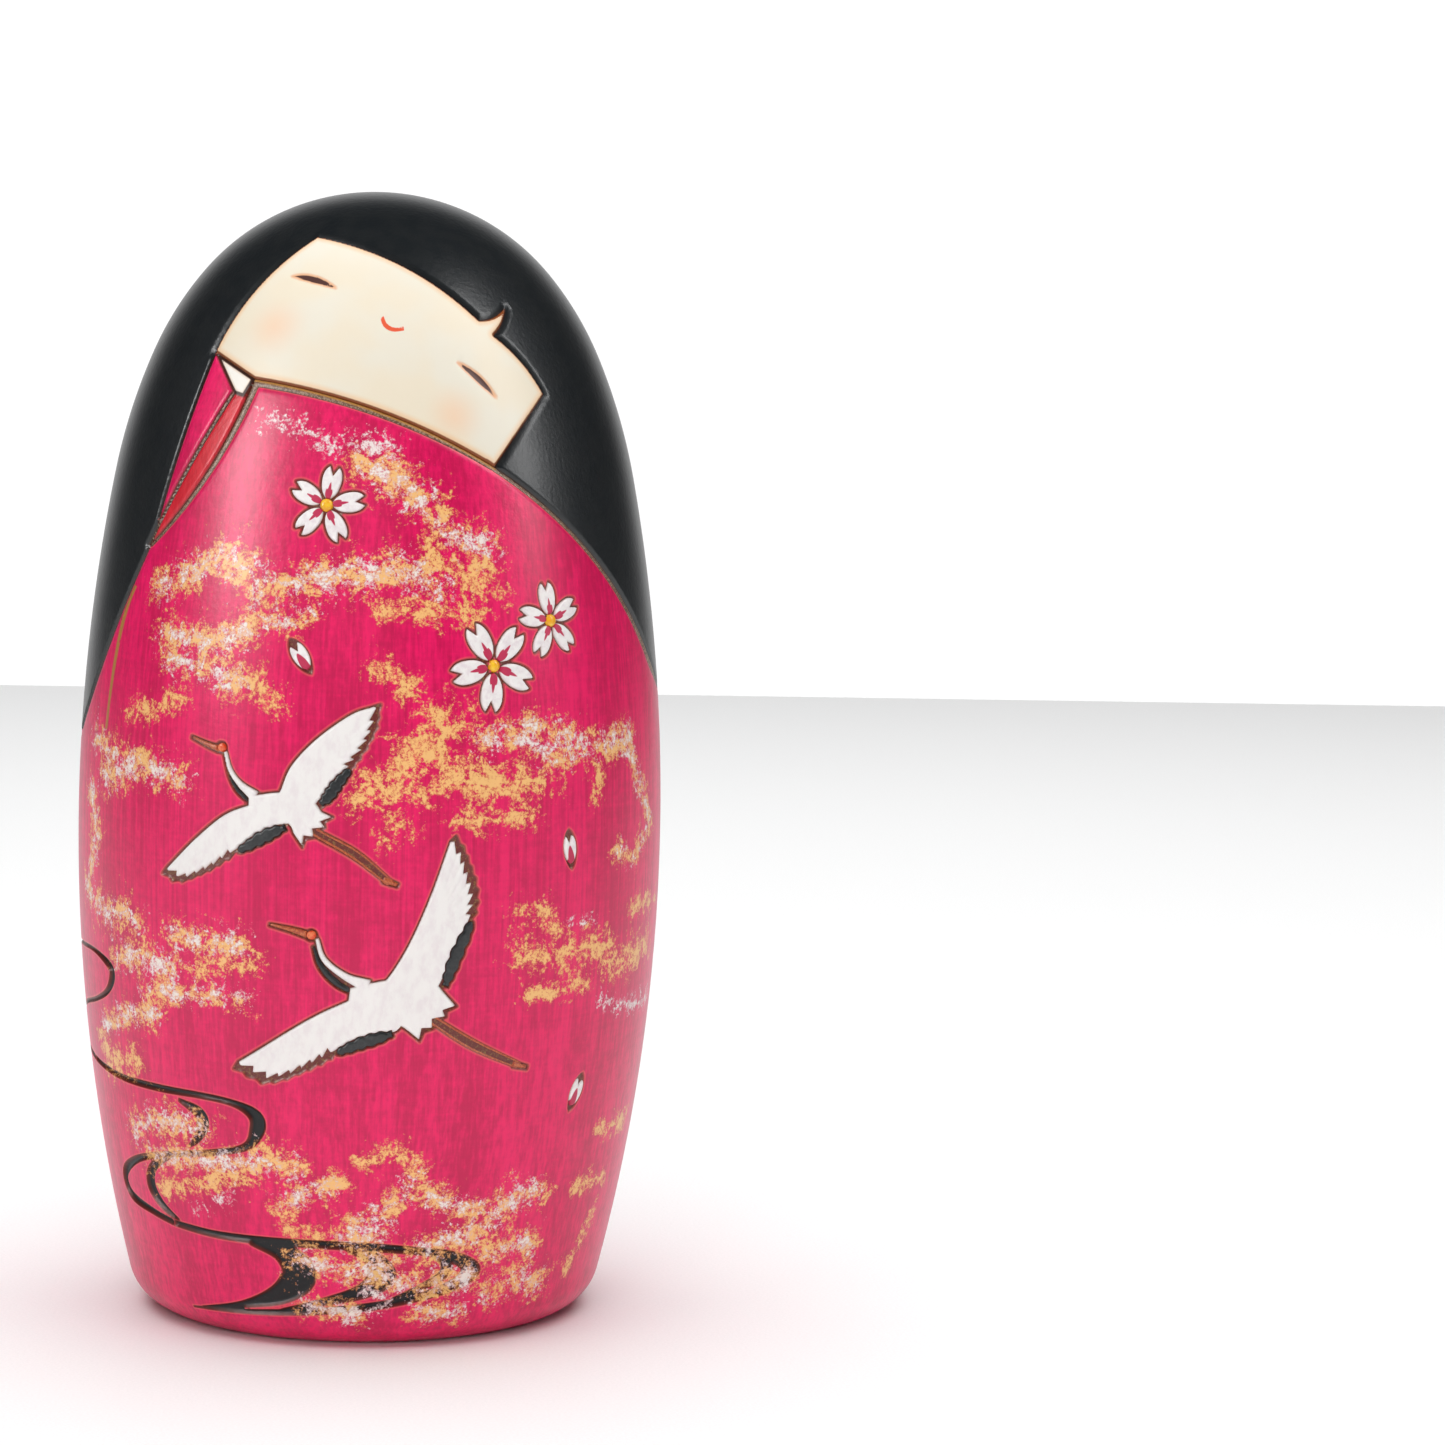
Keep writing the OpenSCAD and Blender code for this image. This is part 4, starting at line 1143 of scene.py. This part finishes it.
yellow_finish = Finish("yellow_dab", Roughness=0.35, Coat_Weight=0.4, Coat_Roughness=0.2)
wet = yellow_finish.speckle(0.6, 3, 0.6)
yellow_finish.use(yellow_finish.paint("#f3a90c", "#fccb2a", wet, 0.4, 0.65), wet, 0.02)

# %% [markdown]
# ### Bare wood
# The block shows only under the foot, where the turner's tool leaves fine rings on pale wood.

# %% Bare wood
wood_finish = Finish("bare_turned_wood", Roughness=0.6)
rings = add(wood_finish.tree, "TexWave", {0: wood_finish.place, "Scale": 60.0, "Distortion": 1.2, "Detail": 3.0},
    "Fac", wave_type="RINGS", rings_direction="Z")
wood_finish.use(wood_finish.paint("#c9a06a", "#e3c797", rings, 0.0, 1.0), rings, 0.02)

# %% [markdown]
# ## Which finish goes where
# The pieces are named for what they are, so the end of a name is enough to choose its finish.

# %% Give each piece its finish
FINISHES = {"kimono": kimono_finish, "under_kimono": under_finish, "collar_lining": lining_finish,
    "hair": hair_finish,
            "face": face_finish, "neck_collar": collar_white, "collar_edge": edge_finish}
ENDINGS = {"_plumage": white_finish, "_petals": petal_finish, "_quills": ink_finish, "_crest": crest_finish,
    "_beak": leg_finish,
           "_legs": leg_finish, "_pistil": yellow_finish, "_ground": ground_finish}
for name, obj in pieces.items():
    finish = FINISHES.get(name) or next((f for e, f in ENDINGS.items() if name.endswith(e)), None)
    if name.startswith("stream"):
        finish = stream_finish
    if name.startswith("fallen") and not name.endswith("_ground"):
        finish = petal_finish
    obj.data.materials.append(finish.material)
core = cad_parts["wood_core"]
core.data.materials.clear()
core.data.materials.append(wood_finish.material)
print("pieces", len(pieces))

# %% [markdown]
# ## Studio
# The doll stands on a white sweep with broad soft light all round. A large panel to the left gives the pale
# patch on the shoulder, and a tall narrow one behind on the right gives the strip down the hair.

# %% Floor
bm = bmesh.new()
bmesh.ops.create_grid(bm, x_segments=2, y_segments=2, size=0.9)
mesh = bpy.data.meshes.new("floor")
bm.to_mesh(mesh)
floor = bpy.data.objects.new("floor", mesh)
bpy.context.scene.collection.objects.link(floor)
floor_finish = Finish("white_paper", Roughness=0.6, Specular_IOR_Level=0.1)
tooth = floor_finish.speckle(0.4, 3, 0.5)
floor_finish.use(floor_finish.paint("#f5f5f5", "#f9f9f9", tooth, 0.4, 0.6), tooth, 0.01)
mesh.materials.append(floor_finish.material)


# %% [markdown]
# ## Lights
# One soft light that did everything would wash the black out. Here the panels that show as bright shapes in the
# varnish and the scrims that light the colours are separate, so each can be set for its own job.

# %% Lights
def panel(name, at, size, radiance, shines):
    """A soft panel aimed at the doll. It either shows as a reflection in the varnish or lights the colours."""
    light = bpy.data.lights.new(name, "AREA")
    light.shape = "RECTANGLE"
    light.size, light.size_y = size
    light.energy = radiance * math.pi * size[0] * size[1]
    obj = bpy.data.objects.new(name, light)
    obj.location = at
    obj.rotation_euler = (AIM - Vector(at)).to_track_quat("-Z", "Y").to_euler()
    obj.visible_glossy = shines
    obj.visible_diffuse = not shines
    bpy.context.scene.collection.objects.link(obj)


AIM = Vector((0, 0, 0.09))
panel("left_panel", (-0.59, -0.35, 0.36), (0.24, 0.32), 14, True)
panel("right_panel", (0.58, -0.21, 0.52), (0.15, 0.70), 8, True)
panel("top_scrim", (0, 0.05, 1.15), (1.9, 1.9), 2.3, False)
panel("front_scrim", (-0.2, -1.5, 0.6), (1.0, 0.8), 3.3, False)

# %% [markdown]
# The paper behind the doll is white, while the lacquer sees a dim room in front. That keeps the black and the
# dye deep while the edges still pick up a pale rim. The camera itself sees white paper whichever way it looks.

# %% A room that is white behind and dim in front
DIM, PAPER = 0.03, 1.05
world = bpy.data.worlds.new("studio_room")
world.use_nodes = True
tree = world.node_tree
way = add(tree, "TexCoord", {}, "Generated")
back = add(tree, "SeparateXYZ", {0: way}, "Y")
ramp = add(tree, "MapRange", {0: back, 1: 0.8, 2: 0.97, 3: DIM, 4: PAPER}, interpolation_type="SMOOTHSTEP")
seen = add(tree, "LightPath", {}, "Is Camera Ray")
strength = add(tree, "Mix", {0: seen, 2: ramp, 3: PAPER})
tree.links.new(strength, tree.nodes["Background"].inputs["Strength"])
tree.nodes["Background"].inputs["Color"].default_value = colour("#ffffff")
bpy.context.scene.world = world
bpy.context.scene.view_settings.view_transform = "Standard"

# %% [markdown]
# ## Camera
# A long lens a little over half a metre away, level with the crown and tipped down by under six degrees.
# It is aimed right of the doll, which therefore stands in the left half of the picture.

# %% Place the camera
EYE = Vector((0, -0.6396, 0.1471))
YAW, PITCH, ROLL = (math.radians(a) for a in (4.376, 5.776, 1.263))
ahead = Vector((math.sin(YAW) * math.cos(PITCH), math.cos(YAW) * math.cos(PITCH), -math.sin(PITCH)))
right = Vector((math.cos(YAW), -math.sin(YAW), 0))
up = right.cross(ahead)
right, up = right * math.cos(ROLL) + up * math.sin(ROLL), up * math.cos(ROLL) - right * math.sin(ROLL)
lens = bpy.data.cameras.new("camera")
lens.sensor_width = 36
lens.lens = 36 * 4600 / 1445
lens.clip_start = 0.01
camera = bpy.data.objects.new("camera", lens)
camera.matrix_world = Matrix((right, up, -ahead)).transposed().to_4x4()
camera.matrix_world.translation = EYE
bpy.context.scene.collection.objects.link(camera)
bpy.context.scene.camera = camera
